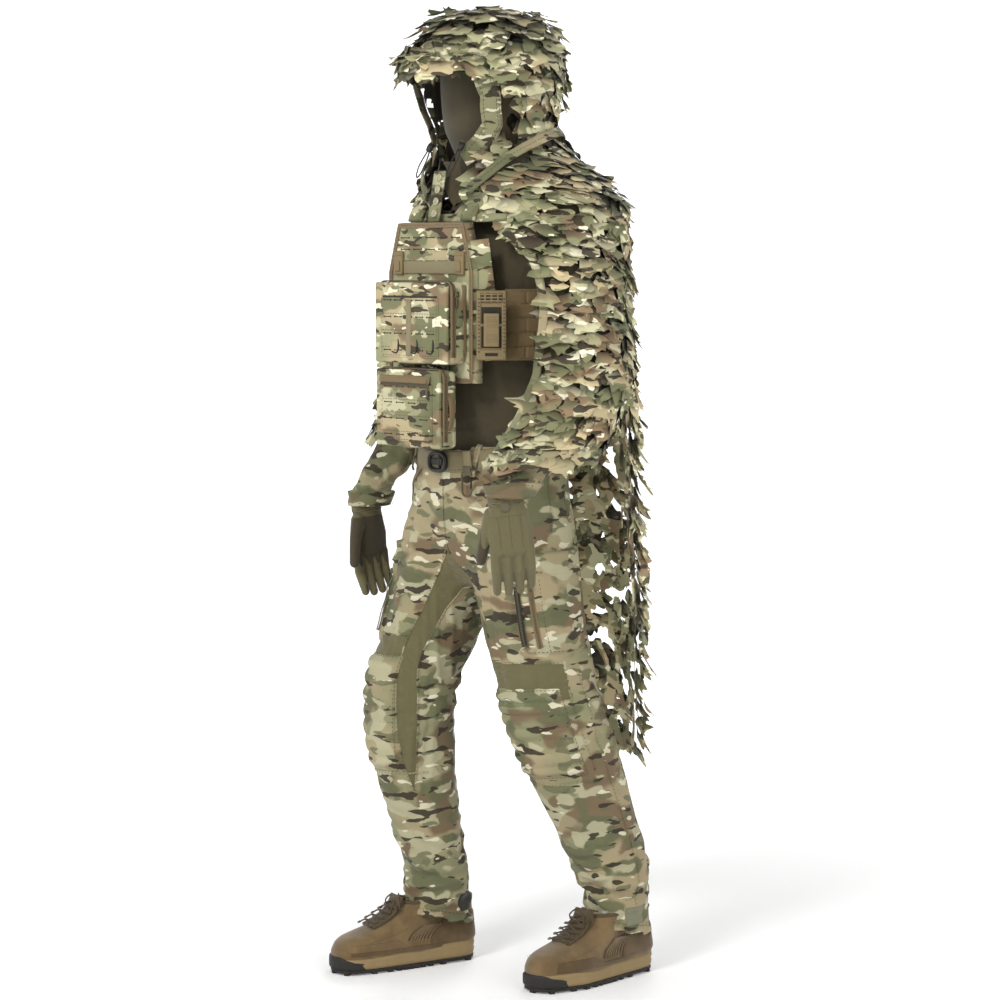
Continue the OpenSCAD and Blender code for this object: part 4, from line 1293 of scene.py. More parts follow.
def net(name, form, low, high, angles, allow, body="suit", inset=-0.007, cell=0.011, open_at=0.25, seed=3,
        stands_for=(), grain=30.0, material=None):
    """The base cloth under the flaps: a sheet with ragged holes where the pattern is above open_at; its default dark
    brown is painted shade under the flaps.
    """
    rows = max(3, int((high - low) / cell))
    a0, a1 = angles((low + high) / 2)
    r = form.ring((low + high) / 2)
    columns = max(6, int(math.radians(abs(a1 - a0)) * (r[3] + r[4]) / 2 / cell))
    grid = []
    for j in range(rows + 1):
        z = low + (high - low) * j / rows
        a0, a1 = angles(z)
        grid.append([form.at(a0 + (a1 - a0) * i / columns, z, inset) for i in range(columns + 1)])
    faces = []
    width = columns + 1
    for j in range(rows):
        for i in range(columns):
            c = (grid[j][i] + grid[j + 1][i + 1]) / 2
            value = noise.noise(Vector((c[0] * grain + seed, c[1] * grain, c[2] * grain * 0.9)))
            if allow(c) and value < open_at:
                a = j * width + i
                faces.append((a, a + 1, a + 1 + width, a + width))
    used = sorted({i for f in faces for i in f})
    lookup = {old: new for new, old in enumerate(used)}
    points = [p for row_points in grid for p in row_points]
    thing = piece(name, ([points[i] for i in used], [tuple(lookup[i] for i in f) for f in faces]),
                  material or NET_AND_SHADE, body, "leaf_camo_cloth", stands_for=stands_for)
    even = thing.modifiers.new("even", "SMOOTH")
    even.iterations = 2
    finer = thing.modifiers.new("finer", "SUBSURF")
    finer.levels = finer.render_levels = 1
    bake(thing)
    tones_and_shade = [0.95] * len(thing.data.vertices)
    thing.data.attributes.new("tone", "FLOAT", "POINT").data.foreach_set("value", tones_and_shade)
    return thing


def at_throat(p):
    """Whether a point is under the strip with the snaps."""
    return abs(p[0] + 0.004) < 0.038 and p[1] < -0.04 and 1.45 < p[2] < 1.585


def at_cord(p):
    """Whether a point is under a drawcord and its lock."""
    return abs(abs(p[0]) - 0.046) < 0.014 and p[1] < -0.05 and 1.545 < p[2] < 1.612


def below_seam(p):
    return p[2] < seam_height(p[0], p[1]) + 0.004


def on_yoke(p):
    front = p[1] < -0.06 and abs(p[0]) < 0.128
    return below_seam(p) and not (front and p[2] < 1.468)


def face_half(z):
    """Half the width of the face opening at a height."""
    return float(np.interp(z, [1.582, 1.604, 1.645, 1.70, 1.742], [0.020, 0.046, 0.071, 0.084, 0.080]))


def in_face(p, margin=0.0):
    """Whether a hood point is in the face opening."""
    if p[1] > -0.03 or not 1.582 - margin < p[2] < 1.742 + margin:
        return False
    return abs(p[0]) < face_half(p[2]) + margin


def on_hood(p):
    beside = 0.035 if p[2] > 1.604 else 0.006
    clear = not at_throat(p) and not at_cord(p) and not in_face(p, beside)
    return clear and p[2] > seam_height(p[0], p[1]) + 0.004


def full(z):
    return -180, 180


def span_left(z):
    """The angles that the left sleeve covers at a height."""
    front = np.interp(z, [1.03, 1.09, 1.18, 1.30, 1.40, 1.45], [-22, -6, 24, 32, 30, 14])
    return float(front), 200 - max(0, z - 1.3) * 250


def span_right(z):
    return 190, 378 - max(0, z - 1.3) * 180


def leafy_left(z):
    """The left sleeve's flaps stop short of the armhole's front edge."""
    low, high = span_left(z)
    return low + 8, high


def leafy_right(z):
    low, high = span_right(z)
    return low, high - 8


def tail_span(z):
    levels = [0.408, 0.44, 0.5, 0.6, 0.7, 0.81, 0.96, 1.10]
    return (float(np.interp(z, levels, [152, 138, 132, 128, 122, 116, 116, 118])),
            float(np.interp(z, levels, [200, 214, 224, 229, 234, 242, 240, 230])))


def anywhere(p):
    return True


def crown():
    """Flaps that close the top of the hood."""
    rand = random.Random(31)
    height = 1.862
    ring = HOOD.ring(height)
    flaps = Flaps()
    for share, count, rise in ((0.80, 13, -0.003), (0.52, 9, 0.001), (0.24, 5, 0.003), (0.0, 1, 0.004)):
        for k in range(count):
            a = 2 * math.pi * (k + rand.uniform(-0.2, 0.2)) / count
            out = np.array((math.sin(a), -math.cos(a), 0.0))
            reach = ring[3] if abs(out[0]) > 0.7 else ring[4]
            spot = np.array((ring[0], ring[1], height + rise)) + out * share * reach
            dip = math.radians(48) * share
            down = out * math.cos(dip) - np.array((0, 0, math.sin(dip)))
            lift = np.array((0, 0, math.cos(dip))) + out * math.sin(dip)
            size = 0.024 * rand.uniform(0.85, 1.2)
            tilt = rand.uniform(0.0, 0.1)
            flaps.add(*leaf_mesh(rand, spot, np.cross((0, 0, 1), out), down, lift, size, 0.0, tilt, False, 0.6))
    flaps.piece("crown_leaves")


def hood():
    """The hood's base cloth and flaps, its visor, face edge and collar seam."""
    def covers(p):
        return p[2] > seam_height(p[0], p[1]) and not in_face(p, 0.002)

    net("hood_net", HOOD, 1.466, 1.869, full, covers, open_at=0.16,
        stands_for=("hood_shell",), cell=0.008)
    crown()
    leaves("hood_leaves", HOOD, 1.475, 1.862, full, on_hood, seed=11, size=0.023, row=0.023, pitch=0.031,
           tilt=(0.06, 0.38), curl=1.3)
    visor()
    face_edge()
    collar()


def visor():
    """A stiffened peak over the face, with its own flaps."""
    brim = Form([(0, -62, 1746, 102, 132), (0, -66, 1762, 104, 130), (0, -62, 1778, 98, 120)])
    angles = np.linspace(-84, 84, 49)
    levels = [(1.747, -0.012), (1.744, -0.002), (1.752, 0.002), (1.764, 0.003), (1.776, 0.0), (1.780, -0.010)]
    verts = [brim.at(a, z, out) for z, out in levels for a in angles]
    faces = grid_faces(len(levels), len(angles), ring=False)
    piece("visor", (verts, faces), CAMO, slot="leaf_camo_cloth", stands_for=("hood_brim",))
    leaves("visor_leaves", brim, 1.744, 1.792, lambda z: (-86, 86), anywhere, seed=21, size=0.021, row=0.016,
           pitch=0.024, tilt=(0.08, 0.5), curl=1.6, under=0.8, lift=0.0)


def face_edge():
    """The plain strips down both sides of the face opening."""
    bands, rows = [], []
    for side in (1, -1):
        points, normals = [], []
        for z in np.linspace(1.738, 1.584, 18):
            ring = HOOD.ring(z)
            angle = math.degrees(math.asin(min(1, (face_half(z) + 0.017) / ring[3]))) * side
            p, u, d, n = HOOD.axes(angle, z)
            points.append(p + n * 0.005)
            normals.append(n)
        bands.append(ribbon(points, normals, 0.040, 0.0022))
        for k in (-0.016, -0.011, 0.014):
            route = [p + unit(np.cross(n, (0, 0, 1))) * k * side + n * 0.0023 for p, n in zip(points, normals)]
            rows.append(stitches(route, normals))
    piece("face_edge", joined(bands), CAMO, slot="camo_cloth")
    piece("face_edge_stitching", joined(rows), THREAD, slot="camo_cloth", smooth=False)


def collar():
    """The bound seam between the hood and the yoke, open at the throat."""
    points, normals = [], []
    for a in range(14, 347, 4):
        z = 1.5
        for k in range(30):
            p, u, d, n = YOKE.axes(a, z)
            z += (seam_height(p[0], p[1]) - z) * 0.4
        points.append(p + n * 0.009)
        normals.append(n)
    piece("collar_binding", ribbon(points, normals, 0.020, 0.0030), CAMO, slot="camo_cloth")
    thread = stitches([p + n * 0.0032 for p, n in zip(points, normals)], normals)
    piece("collar_stitching", thread, THREAD, slot="camo_cloth", smooth=False)


def placket():
    """The plain strip with four ring snaps that closes the hood's throat."""
    strip = moved(soft_box(0.034, 0.004, 0.098, 0.0018, (0, 0.0012, 0), 6), (0, 0, 0.049))
    at = dict(at=(-0.004, -0.1335, 1.464), lean=-10)
    body = "neck_placket"
    piece("throat_strip", moved(strip, **at), CAMO, body, "camo_cloth", stands_for=(body,))
    across, low, high = 0.013, 0.006, 0.092
    corners = [(-across, low), (-across, high), (across, high), (across, low), (-across, low)]
    route = [np.array((x, -0.0042, z)) for x, z in corners]
    lines = joined([stitches([a, b], [(0, -1, 0)] * 2) for a, b in zip(route, route[1:])])
    piece("throat_stitching", moved(lines, **at), THREAD, body, "camo_cloth", smooth=False)
    snap = joined([disc(0.0074, 0.0022, 28, 0.0034), disc(0.0034, 0.0010, 16)])
    snaps = joined([moved(snap, (0.004, -0.0036, 0.015 + 0.023 * k)) for k in range(4)])
    piece("ring_snaps", moved(snaps, **at), SNAPM, body, "bronze_snaps", stands_for=("placket_snaps",))
    cord_locks()


def cord_locks():
    """A barrel with a sprung button on each drawcord."""
    for side, name in SIDES.items():
        lock = dict(at=(side * 0.046, -0.112, 1.598), lean=-32)
        rise = [(0, 0, z) for z in (-0.0005, 0.0015, 0.008, 0.0145, 0.016)]
        eye = sweep([(0, -0.0066, 0.006), (0, 0.0066, 0.006)], 0.0021, 14)
        barrel = joined([sweep(rise, lambda t: 0.006 - 0.0016 * abs(2 * t - 1) ** 6, 20), eye])
        piece(f"lock_barrel_{name}", moved(barrel, **lock), BLACKP, slot="black_plastic",
              stands_for=(f"cord_lock_{name}",))
        knob = sweep([(0, 0, 0.0163), (0, 0, 0.019), (0, 0, 0.0205)], lambda t: 0.0043 - 0.0013 * t ** 3, 18)
        plunger = f"lock_plunger_{name}"
        piece(f"lock_button_{name}", moved(knob, **lock), OLIVEP, plunger, "olive_plastic", stands_for=(plunger,))


def cape():
    """The yoke, back, open sleeves and see-through tail of the cape, and its bound edges."""
    def under_seam(p):
        return on_yoke(p) and not at_throat(p) and p[2] < seam_height(p[0], p[1]) - 0.010

    net("yoke_net", YOKE, 1.442, 1.63, full, on_yoke, open_at=0.3,
        stands_for=("cape_yoke",))
    leaves("yoke_leaves", YOKE, 1.43, 1.64, full, under_seam, seed=12, tilt=(0.02, 0.18))
    net("back_net", BACK, 1.12, 1.448, lambda z: (118, 229), anywhere, open_at=0.22,
        stands_for=("cape_back",))
    leaves("back_leaves", BACK, 1.115, 1.45, lambda z: (112, 235), anywhere, seed=13)
    for side, form, span, leafy, seed in (("left", SLEEVE_LEFT, span_left, leafy_left, 14),
                                          ("right", SLEEVE_RIGHT, span_right, leafy_right, 15)):
        net(f"sleeve_net_{side}", form, 1.036, 1.445, span, anywhere, open_at=0.3,
            stands_for=(f"cape_sleeve_{side}",))
        leaves(f"sleeve_leaves_{side}", form, 1.03, 1.45, leafy, anywhere, seed=seed, tilt=(0.04, 0.24))
    tail()
    cape_edges()


def tail():
    """The long see-through tail, which hangs from the back panel's lower edge."""
    sheet = net("tail_net", TAIL, 0.412, 1.125, tail_span, anywhere, body=None, open_at=0.09, cell=0.009,
                stands_for=("cape_tail",), grain=34.0, material=TAILCLOTH_LIT)
    flaps = leaves("tail_leaves", TAIL, 0.43, 1.125, tail_span, anywhere, body=None, seed=16, skip=0.2,
                   size=0.026, row=0.026, pitch=0.036, tilt=(0.0, 0.5), curl=1.5, under=0.25,
                   material=TAILCLOTH_LIT)
    for thing in (sheet, flaps):
        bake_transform(thing)


def cape_edges():
    """Bound edges of the armholes, the sleeves' hems and the yoke's front."""
    def bound(form, line, out, width, thick):
        spots = [form.axes(a, z) for a, z in line]
        return ribbon([p + n * out for p, u, d, n in spots], [n for p, u, d, n in spots], width, thick)

    sleeves = ((SLEEVE_LEFT, span_left), (SLEEVE_RIGHT, span_right))
    edges = []
    for form, span in sleeves:
        for which in (0, 1):
            line = [(span(z)[which], z) for z in np.linspace(1.445, 1.04, 26)]
            edges.append(bound(form, line, 0.003, 0.016, 0.0028))
    for form, span in sleeves:
        line = [(a, 1.042) for a in np.linspace(*span(1.04), 30)]
        edges.append(bound(form, line, 0.002, 0.014, 0.0026))
    line = [(a, 1.470) for a in np.linspace(-40, 34, 30)]
    edges.append(bound(YOKE, line, 0.004, 0.016, 0.0028))
    piece("cape_binding", joined(edges), CAMO, slot="camo_cloth")


def mask():
    """A stretch hood liner, smooth and featureless, with soft creases at the neck."""
    verts, faces = tube_mesh(HEAD, 64, 0.006)
    shaped = []
    for v in verts:
        crease = 0.0016 * math.sin(240 * v[2] + 3 * math.sin(9 * v[0])) * bell(v[2], 1.575, 0.03)
        shaped.append(np.array([v[0] * (1 + crease * 12), v[1] * (1 + crease * 12), v[2]]))
    piece("face_mask_cloth", (shaped, faces), MASK_SHADED, slot="olive_stretch_cloth", stands_for=("face_mask",))


hood()
placket()
cape()
mask()


# ---------------------------------------------------------------- plate carrier and pouches
FRONT = (0, -1, 0)


def slit_rows(width, levels, columns, y, long=0.024):
    """Rows of laser-cut slots with a round eye at each end, on a face that looks towards -Y."""
    slits, eyes = [], []
    pitch = width / columns
    for z in levels:
        for k in range(columns):
            x = -width / 2 + pitch * (k + 0.5)
            slits.append(moved(soft_box(long, 0.0010, 0.0016, 0.0005, count=2), (x, y, z)))
            for s in (-1, 1):
                eyes.append(moved(disc(0.0016, 0.0009, 10), (x + s * long / 2, y, z)))
    return joined(slits + eyes)


def straight(a, b, step=0.012):
    a, b = np.asarray(a, float), np.asarray(b, float)
    count = max(2, int(np.linalg.norm(b - a) / step))
    return [a + (b - a) * i / count for i in range(count + 1)]


def path(*corners):
    """A straight-sided route through corners."""
    out = []
    for a, b in zip(corners, corners[1:]):
        out += straight(a, b)[:-1]
    return out + [np.asarray(corners[-1], float)]


def plate_bag(name, sign, node):
    """A chamfered pocket for a plate, crowned, bound round its edge."""
    w, h, t, low = 0.250, 0.300, 0.024, 1.162
    shoulder, chamfer, middle = h - 0.092, w / 2 - 0.028, h / 2
    outline = [(-w / 2, 0), (w / 2, 0), (w / 2, shoulder), (chamfer, h), (-chamfer, h), (-w / 2, shoulder)]
    route = []
    for a, b in zip(outline, outline[1:] + outline[:1]):
        route += [(a[0] + (b[0] - a[0]) * i / 10, a[1] + (b[1] - a[1]) * i / 10) for i in range(10)]
    scales = [1, 1, 0.985, 0.96, 0.8, 0.6, 0.35, 0.1]
    depths = [0, t * 0.6, t * 0.85, t] + [t + 0.0002] * 4
    verts = [(x * scale, sign * (0.120 + depth), low + middle + (z - middle) * scale)
             for scale, depth in zip(scales, depths) for x, z in route]
    faces = grid_faces(len(scales), len(route)) + lids(len(scales), len(route))[::-1]
    piece(name, (verts, faces), GEAR, slot="camo_cloth", stands_for=(node,))
    corners = [(x * 0.97, sign * (0.1205 + t), low + middle + (z - middle) * 0.97) for x, z in outline]
    edge = path(*corners, corners[0])
    normals = [(0, sign, 0)] * len(edge)
    piece(f"{name}_binding", ribbon(edge, normals, 0.010, 0.0016), TAPE, slot="olive_webbing")
    thread = stitches([p + np.array((0, sign * 0.0017, 0)) for p in edge], normals)
    piece(f"{name}_stitching", thread, THREAD, slot="olive_webbing", smooth=False)


def carrier():
    """Both plate bags, their slits and webbing, the shoulder straps and the side closures."""
    plate_bag("front_bag", -1, "front_plate_bag")
    plate_bag("back_bag", 1, "back_plate_bag")
    slits = [moved(slit_rows(0.190, [0.272, 0.250, 0.228], 5, 0), (0, -0.1448, 1.162))]
    back = moved(slit_rows(0.210, np.arange(0.04, 0.28, 0.0255), 5, 0), (0, -0.1448, 1.162))
    slits.append(moved(back, turn=180))
    # painted shade: the slits are dark bars standing in for the shade in the cuts
    piece("carrier_slits", joined(slits), DARK_CLOTH_AND_SHADE, slot="coyote_nylon", smooth=False)
    strip = moved(soft_box(0.156, 0.003, 0.024, 0.0012, (0, 0.0006, 0)), (0, -0.1466, 1.378))
    piece("clip_webbing", strip, WEBBING, slot="olive_webbing")
    handle = [(x, 0.158 + 0.010 * math.cos(x * 30), 1.440) for x in np.linspace(-0.05, 0.05, 12)]
    handle = [(-0.05, 0.146, 1.440)] + handle + [(0.05, 0.146, 1.440)]
    piece("drag_handle", ribbon(handle, [(0, 1, 0)] * len(handle), 0.026, 0.003), WEBBING, slot="olive_webbing")
    for side, name in SIDES.items():
        shoulder_strap(side, name)
    cummerbund()
    side_buckles()
    clips = []
    for s in (-1, 1):
        clips.append(moved(soft_box(0.026, 0.007, 0.044, 0.0025), (s * 0.092, -0.1482, 1.386)))
        clips.append(moved(soft_box(0.014, 0.003, 0.020, 0.001), (s * 0.092, -0.1528, 1.380)))
        clips.append(moved(soft_box(0.022, 0.0025, 0.004, 0.001), (s * 0.092, -0.1522, 1.402)))
    piece("front_clips", joined(clips), BUCKLE, slot="tan_plastic", stands_for=("placard_clips",))


def shoulder_strap(side, name):
    """A padded strap over the shoulder, and the flap beside the front bag."""
    route, normals = [], []
    for a in np.linspace(2, 178, 36):
        c, s = math.cos(math.radians(a)), math.sin(math.radians(a))
        route.append(np.array((side * 0.079, -0.1155 * c, 1.4625 + 0.0565 * s)))
        normals.append(unit((0, -c * 0.5, s)))
    piece(f"shoulder_pad_{name}", ribbon(route, normals, 0.040, 0.007), GEAR, slot="camo_cloth",
          stands_for=(f"shoulder_strap_{name}",))
    rows = [stitches([p + np.array((k, 0, 0)) + n * 0.0072 for p, n in zip(route, normals)], normals)
            for k in (-0.015, 0.015)]
    bars = []
    for i in (7, 12, 17, 22, 27):
        across = [route[i] + np.array((x, 0, 0)) + normals[i] * 0.0074 for x in (-0.018, -0.009, 0, 0.009, 0.018)]
        bars.append(ribbon(across, [normals[i]] * 5, 0.010, 0.0012))
    piece(f"shoulder_stitching_{name}", joined(rows), THREAD, slot="camo_cloth", smooth=False)
    piece(f"shoulder_bars_{name}", joined(bars), TAPE, slot="olive_webbing")
    flap = soft_box(0.036, 0.004, 0.226, 0.0016, (0, 0.0008, 0))
    piece(f"bag_side_{name}", moved(flap, (side * 0.134, -0.117, 1.318), side * 42, roll=-7 * side), GEAR,
          slot="camo_cloth")


def cummerbund():
    """Two wings of laid-up cells with rows of stitches."""
    wing = Form([(0, 0, 1204, 178, 134), (0, 0, 1270, 179, 134), (0, 0, 1338, 180, 134)])
    low, high, start, end, nu, nv = 1.204, 1.338, 53, 132, 124, 80

    def cells(u, v):
        row = abs(((v * 5) % 1) - 0.5) * 2
        column = abs(((u * 5 + 0.5 * (int(v * 5) % 2)) % 1) - 0.5) * 2
        return -0.0022 * max(0, row - 0.84) / 0.16 - 0.0022 * max(0, column - 0.84) / 0.16

    for side, name in SIDES.items():
        verts = []
        for j in range(nv + 1):
            for i in range(nu + 1):
                u, v = i / nu, j / nv
                out = -0.009 + (0.009 + cells(u, v)) * rounded(8 * min(u, 1 - u, v, 1 - v))
                verts.append(wing.at(side * (start + (end - start) * u), low + (high - low) * v, out))
        faces = grid_faces(nv + 1, nu + 1, ring=False)
        if side < 0:
            faces = [quad[::-1] for quad in faces]
        piece(f"cummerbund_wing_{name}", (verts, faces), COYOTE, slot="coyote_nylon",
              stands_for=(f"cummerbund_{name}",))
        rows = []
        for z in (1.208, 1.2308, 1.2576, 1.2844, 1.3112, 1.334):
            spots = [wing.axes(side * a, z) for a in np.linspace(64, 130, 40)]
            rows.append(stitches([p + n * 0.0004 for p, u, d, n in spots], [n for p, u, d, n in spots]))
        piece(f"cummerbund_stitching_{name}", joined(rows), THREAD, slot="coyote_nylon", smooth=False)


def side_buckles():
    """Stacked quick-release frames: a slotted ladder above, a ribbed lock below, and the slide between."""
    def bar(w, d, h, r, at, bulge=0.0, count=8):
        return moved(soft_box(w, d, h, r, (0, bulge, 0), count), at)

    frame_parts = [bar(0.056, 0.006, 0.130, 0.0026, (0, 0.0014, 0.065))]
    frame_parts += [bar(0.009, 0.009, 0.130, 0.003, (x, 0, 0.065)) for x in (-0.0235, 0.0235)]
    for z, h in ((0.010, 0.020), (0.118, 0.022), (0.0655, 0.006)):
        frame_parts.append(bar(0.050, 0.009, h, 0.003, (0, 0, z)))
    ladder = [bar(0.040, 0.0022, 0.0030, 0.001, (0, -0.0056, z), count=2) for z in (0.1105, 0.1165, 0.1225)]
    ladder += [bar(0.003, 0.0022, 0.018, 0.001, (x, -0.0056, 0.1165), count=2) for x in (-0.012, 0, 0.012)]
    slide = [bar(0.029, 0.004, 0.062, 0.0018, (0, -0.0066, 0.0565), 0.0004)]
    for low, count in ((0.034, 4), (0.062, 5)):
        slide += [bar(0.021, 0.0016, 0.0018, 0.0007, (0, -0.0088, low + 0.0046 * k), count=2) for k in range(count)]
    holes = [bar(0.0036, 0.0008, 0.0020, 0.0004, (x, -0.0049, z), count=2)
             for x in (-0.0235, 0.0235) for z in np.arange(0.016, 0.120, 0.007)]
    holes += [bar(w, 0.0008, h, 0.0004, (0, y, z), count=2)
              for w, h, y, z in ((0.024, 0.006, -0.0048, 0.011), (0.041, 0.017, -0.0048, 0.1165),
                                 (0.037, 0.076, -0.0020, 0.061))]
    for side, name in SIDES.items():
        at = dict(at=(side * 0.157, -0.125, 1.206), turn=side * 50)
        piece(f"buckle_frame_{name}", moved(joined(frame_parts), **at), BUCKLE, slot="tan_plastic",
              stands_for=(f"side_buckle_{name}",))
        # painted shade: the holes through the frame are dark patches
        dark = moved(joined(holes), **at)
        piece(f"buckle_holes_{name}", dark, DARK_CLOTH_AND_SHADE, slot="black_plastic", smooth=False)
        piece(f"buckle_ladder_{name}", moved(joined(ladder), **at), BUCKLE, slot="tan_plastic")
        release = f"buckle_release_{name}"
        piece(f"buckle_slide_{name}", moved(joined(slide), **at), BUCKLE, release, "tan_plastic",
              stands_for=(release,))


def opened(shape, w, d, h, radius):
    """A soft box without the flat middle of its -Y face."""
    verts, faces = shape

    def in_front(index):
        x, y, z = verts[index]
        return y < 0.0015 - d / 2 and abs(x) < w / 2 - radius + 0.001 and abs(z) < h / 2 - radius + 0.001

    return verts, [face for face in faces if not all(in_front(index) for index in face)]


def sagging_case(w, d, h, low, back, name, node):
    """A pouch's body: a fabric tray that bellies sideways, with its lining, open where the lid closes it."""
    shape = opened(soft_box(w, d, h, 0.010, (0.004, 0, 0.003), 12), w, d, h, 0.010)
    verts = []
    for v in shape[0]:
        v = np.array(v)
        v[0] *= 1 - 0.02 * (v[2] / h + 0.5)
        v[2] += 0.0012 * math.sin(v[0] * 70)
        verts.append(v)
    at = (0, back - d / 2, low + h / 2)
    piece(name, moved((verts, shape[1]), at), GEAR, slot="camo_cloth", stands_for=(node,))
    w, d, h = w - 0.010, d - 0.004, h - 0.008
    verts, faces = opened(soft_box(w, d, h, 0.006, count=8), w, d, h, 0.006)
    piece(f"{name}_lining", moved((verts, [face[::-1] for face in faces]), at), PALM, slot="camo_cloth")


def pouch_front(w, t, h, at, name, body, rows, columns):
    """A padded lid: crowned face, inset slotted field with dark slits of painted shade, stitched, and with a dark
    strip of painted shade in the seam gap above the field.
    """
    x, y, z = at
    face = moved(soft_box(w, t, h, 0.004, (0, 0.0002, 0), 14), (x, y, z + h / 2))
    piece(f"{name}_face", face, GEAR, body, "camo_cloth", stands_for=(body,))
    front = y - t / 2
    field_w, field_h, field_z = w * 0.80, h * 0.74, z + h * 0.44
    field = moved(soft_box(field_w, 0.0036, field_h, 0.0016, (0, 0.0006, 0), 14), (x, front - 0.0006, field_z))
    piece(f"{name}_field", field, GEAR, body, "camo_cloth")
    levels = [z + h * (0.16 + 0.62 * k / (rows - 1)) for k in range(rows)]
    # painted shade: dark bars in the slits
    slits = moved(slit_rows(field_w * 0.94, levels, columns, 0, 0.020), (x, front - 0.0030, 0))
    piece(f"{name}_slits", slits, DARK_CLOTH_AND_SHADE, body, "camo_cloth", smooth=False)
    low, high = field_z - field_h / 2 + 0.004, field_z + field_h / 2 - 0.004
    left, end = x - (field_w / 2 - 0.004), x + (field_w / 2 - 0.004)
    deep, proud = front - 0.0026, front - 0.0028
    lines = [path((left, deep, low), (end, deep, low), (end, deep, high), (left, deep, high), (left, deep, low))]
    lines += [path((left, proud, level + 0.006), (end, proud, level + 0.006)) for level in levels]
    thread = joined([stitches(line, [FRONT] * len(line)) for line in lines])
    piece(f"{name}_stitching", thread, THREAD, body, "camo_cloth", smooth=False)
    # painted shade: a dark strip in the seam gap above the field
    seam = path((left, front - 0.0010, high + 0.006), (end, front - 0.0010, high + 0.006))
    gap = ribbon(seam, [FRONT] * len(seam), 0.0034, 0.0006)
    piece(f"{name}_gap", gap, DARK_CLOTH_AND_SHADE, body, "camo_cloth", smooth=False)


def zip_round(name, w, h, y, low):
    """A zip that runs up one side of a pouch, over its top and down the other."""
    r, top, proud = 0.016, low + h, 0.0022
    corner = [(math.cos(a), math.sin(a)) for a in np.linspace(0, math.pi / 2, 7)]
    out = w / 2 + proud
    route = straight((out, y, low + 0.012), (out, y, top - r))
    normals = [(1, 0, 0)] * len(route)
    for c, s in corner:
        route.append(np.array((out - r + r * c, y, top - r + (r + proud) * s)))
        normals.append((c, 0, s))
    row = straight((out - r, y, top + proud), (-out + r, y, top + proud))[1:]
    route += row
    normals += [(0, 0, 1)] * len(row)
    for c, s in reversed(corner):
        route.append(np.array((-(out - r + r * c), y, top - r + (r + proud) * s)))
        normals.append((-c, 0, s))
    row = straight((-out, y, top - r), (-out, y, low + 0.012))[1:]
    route += row
    normals += [(-1, 0, 0)] * len(row)
    tape, teeth = zipper(route, normals, 0.013, 0.0044)
    piece(f"{name}_zip_tape", tape, TAPE, slot="olive_webbing")
    piece(f"{name}_zip_teeth", teeth, OLIVEP, slot="olive_plastic", smooth=False)


def upper_pouch():
    """The upper pouch: a slotted lid with a webbing strip, three flaps and their elastic loops."""
    width, height, lid = 0.216, 0.152, "upper_pouch_lid"
    sagging_case(width, 0.040, height, 1.198, -0.1446, "upper_pouch_body", "upper_pouch_case")
    pouch_front(width, 0.009, height, (0, -0.1897, 1.198), "upper_front", lid, 4, 5)
    zip_round("upper", width, 0.150, -0.1785, 1.199)
    centre = [(0.0, -0.1976 - 0.001 * math.sin(6 * k), z) for k, z in enumerate(np.linspace(1.212, 1.318, 12))]
    piece("upper_webbing", ribbon(centre, [FRONT] * 12, 0.016, 0.0016), WEBBING, lid, "olive_webbing")
    columns = (-0.045, 0.012, 0.060)
    straps = []
    for x in columns:
        shares = np.linspace(0, 1, 9)
        route = [(x, -0.1950 - 0.002 * math.sin(k * math.pi), 1.244 - 0.028 * k) for k in shares]
        straps.append(ribbon(route, [FRONT] * 9, 0.022, 0.0014))
    piece("upper_flaps", joined(straps), GEAR, lid, "camo_cloth")
    for k, x in enumerate(columns):
        loop = [(x + 0.012, -0.1965, 1.243), (x + 0.015, -0.1985, 1.228), (x + 0.008, -0.1980, 1.217),
                (x - 0.006, -0.1975, 1.219)]
        piece(f"upper_elastic_{k}", sweep(curve_points(loop, 6), 0.0013, 8), BLACK_CORD, lid, "black_cord")
    piece("upper_pull", pull((0.1165, -0.1746, 1.322), 90), ZIPM, "upper_zip_slider", "olive_metal",
          stands_for=("upper_zip_slider",))
    edges = []
    for s in (-1, 1):
        route = straight((s * 0.106, -0.150, 1.215), (s * 0.106, -0.150, 1.345))
        edges.append(ribbon(route, [(s, 0, 0)] * len(route), 0.010, 0.0030))
    piece("upper_edges", joined(edges), COYOTE, slot="coyote_nylon")


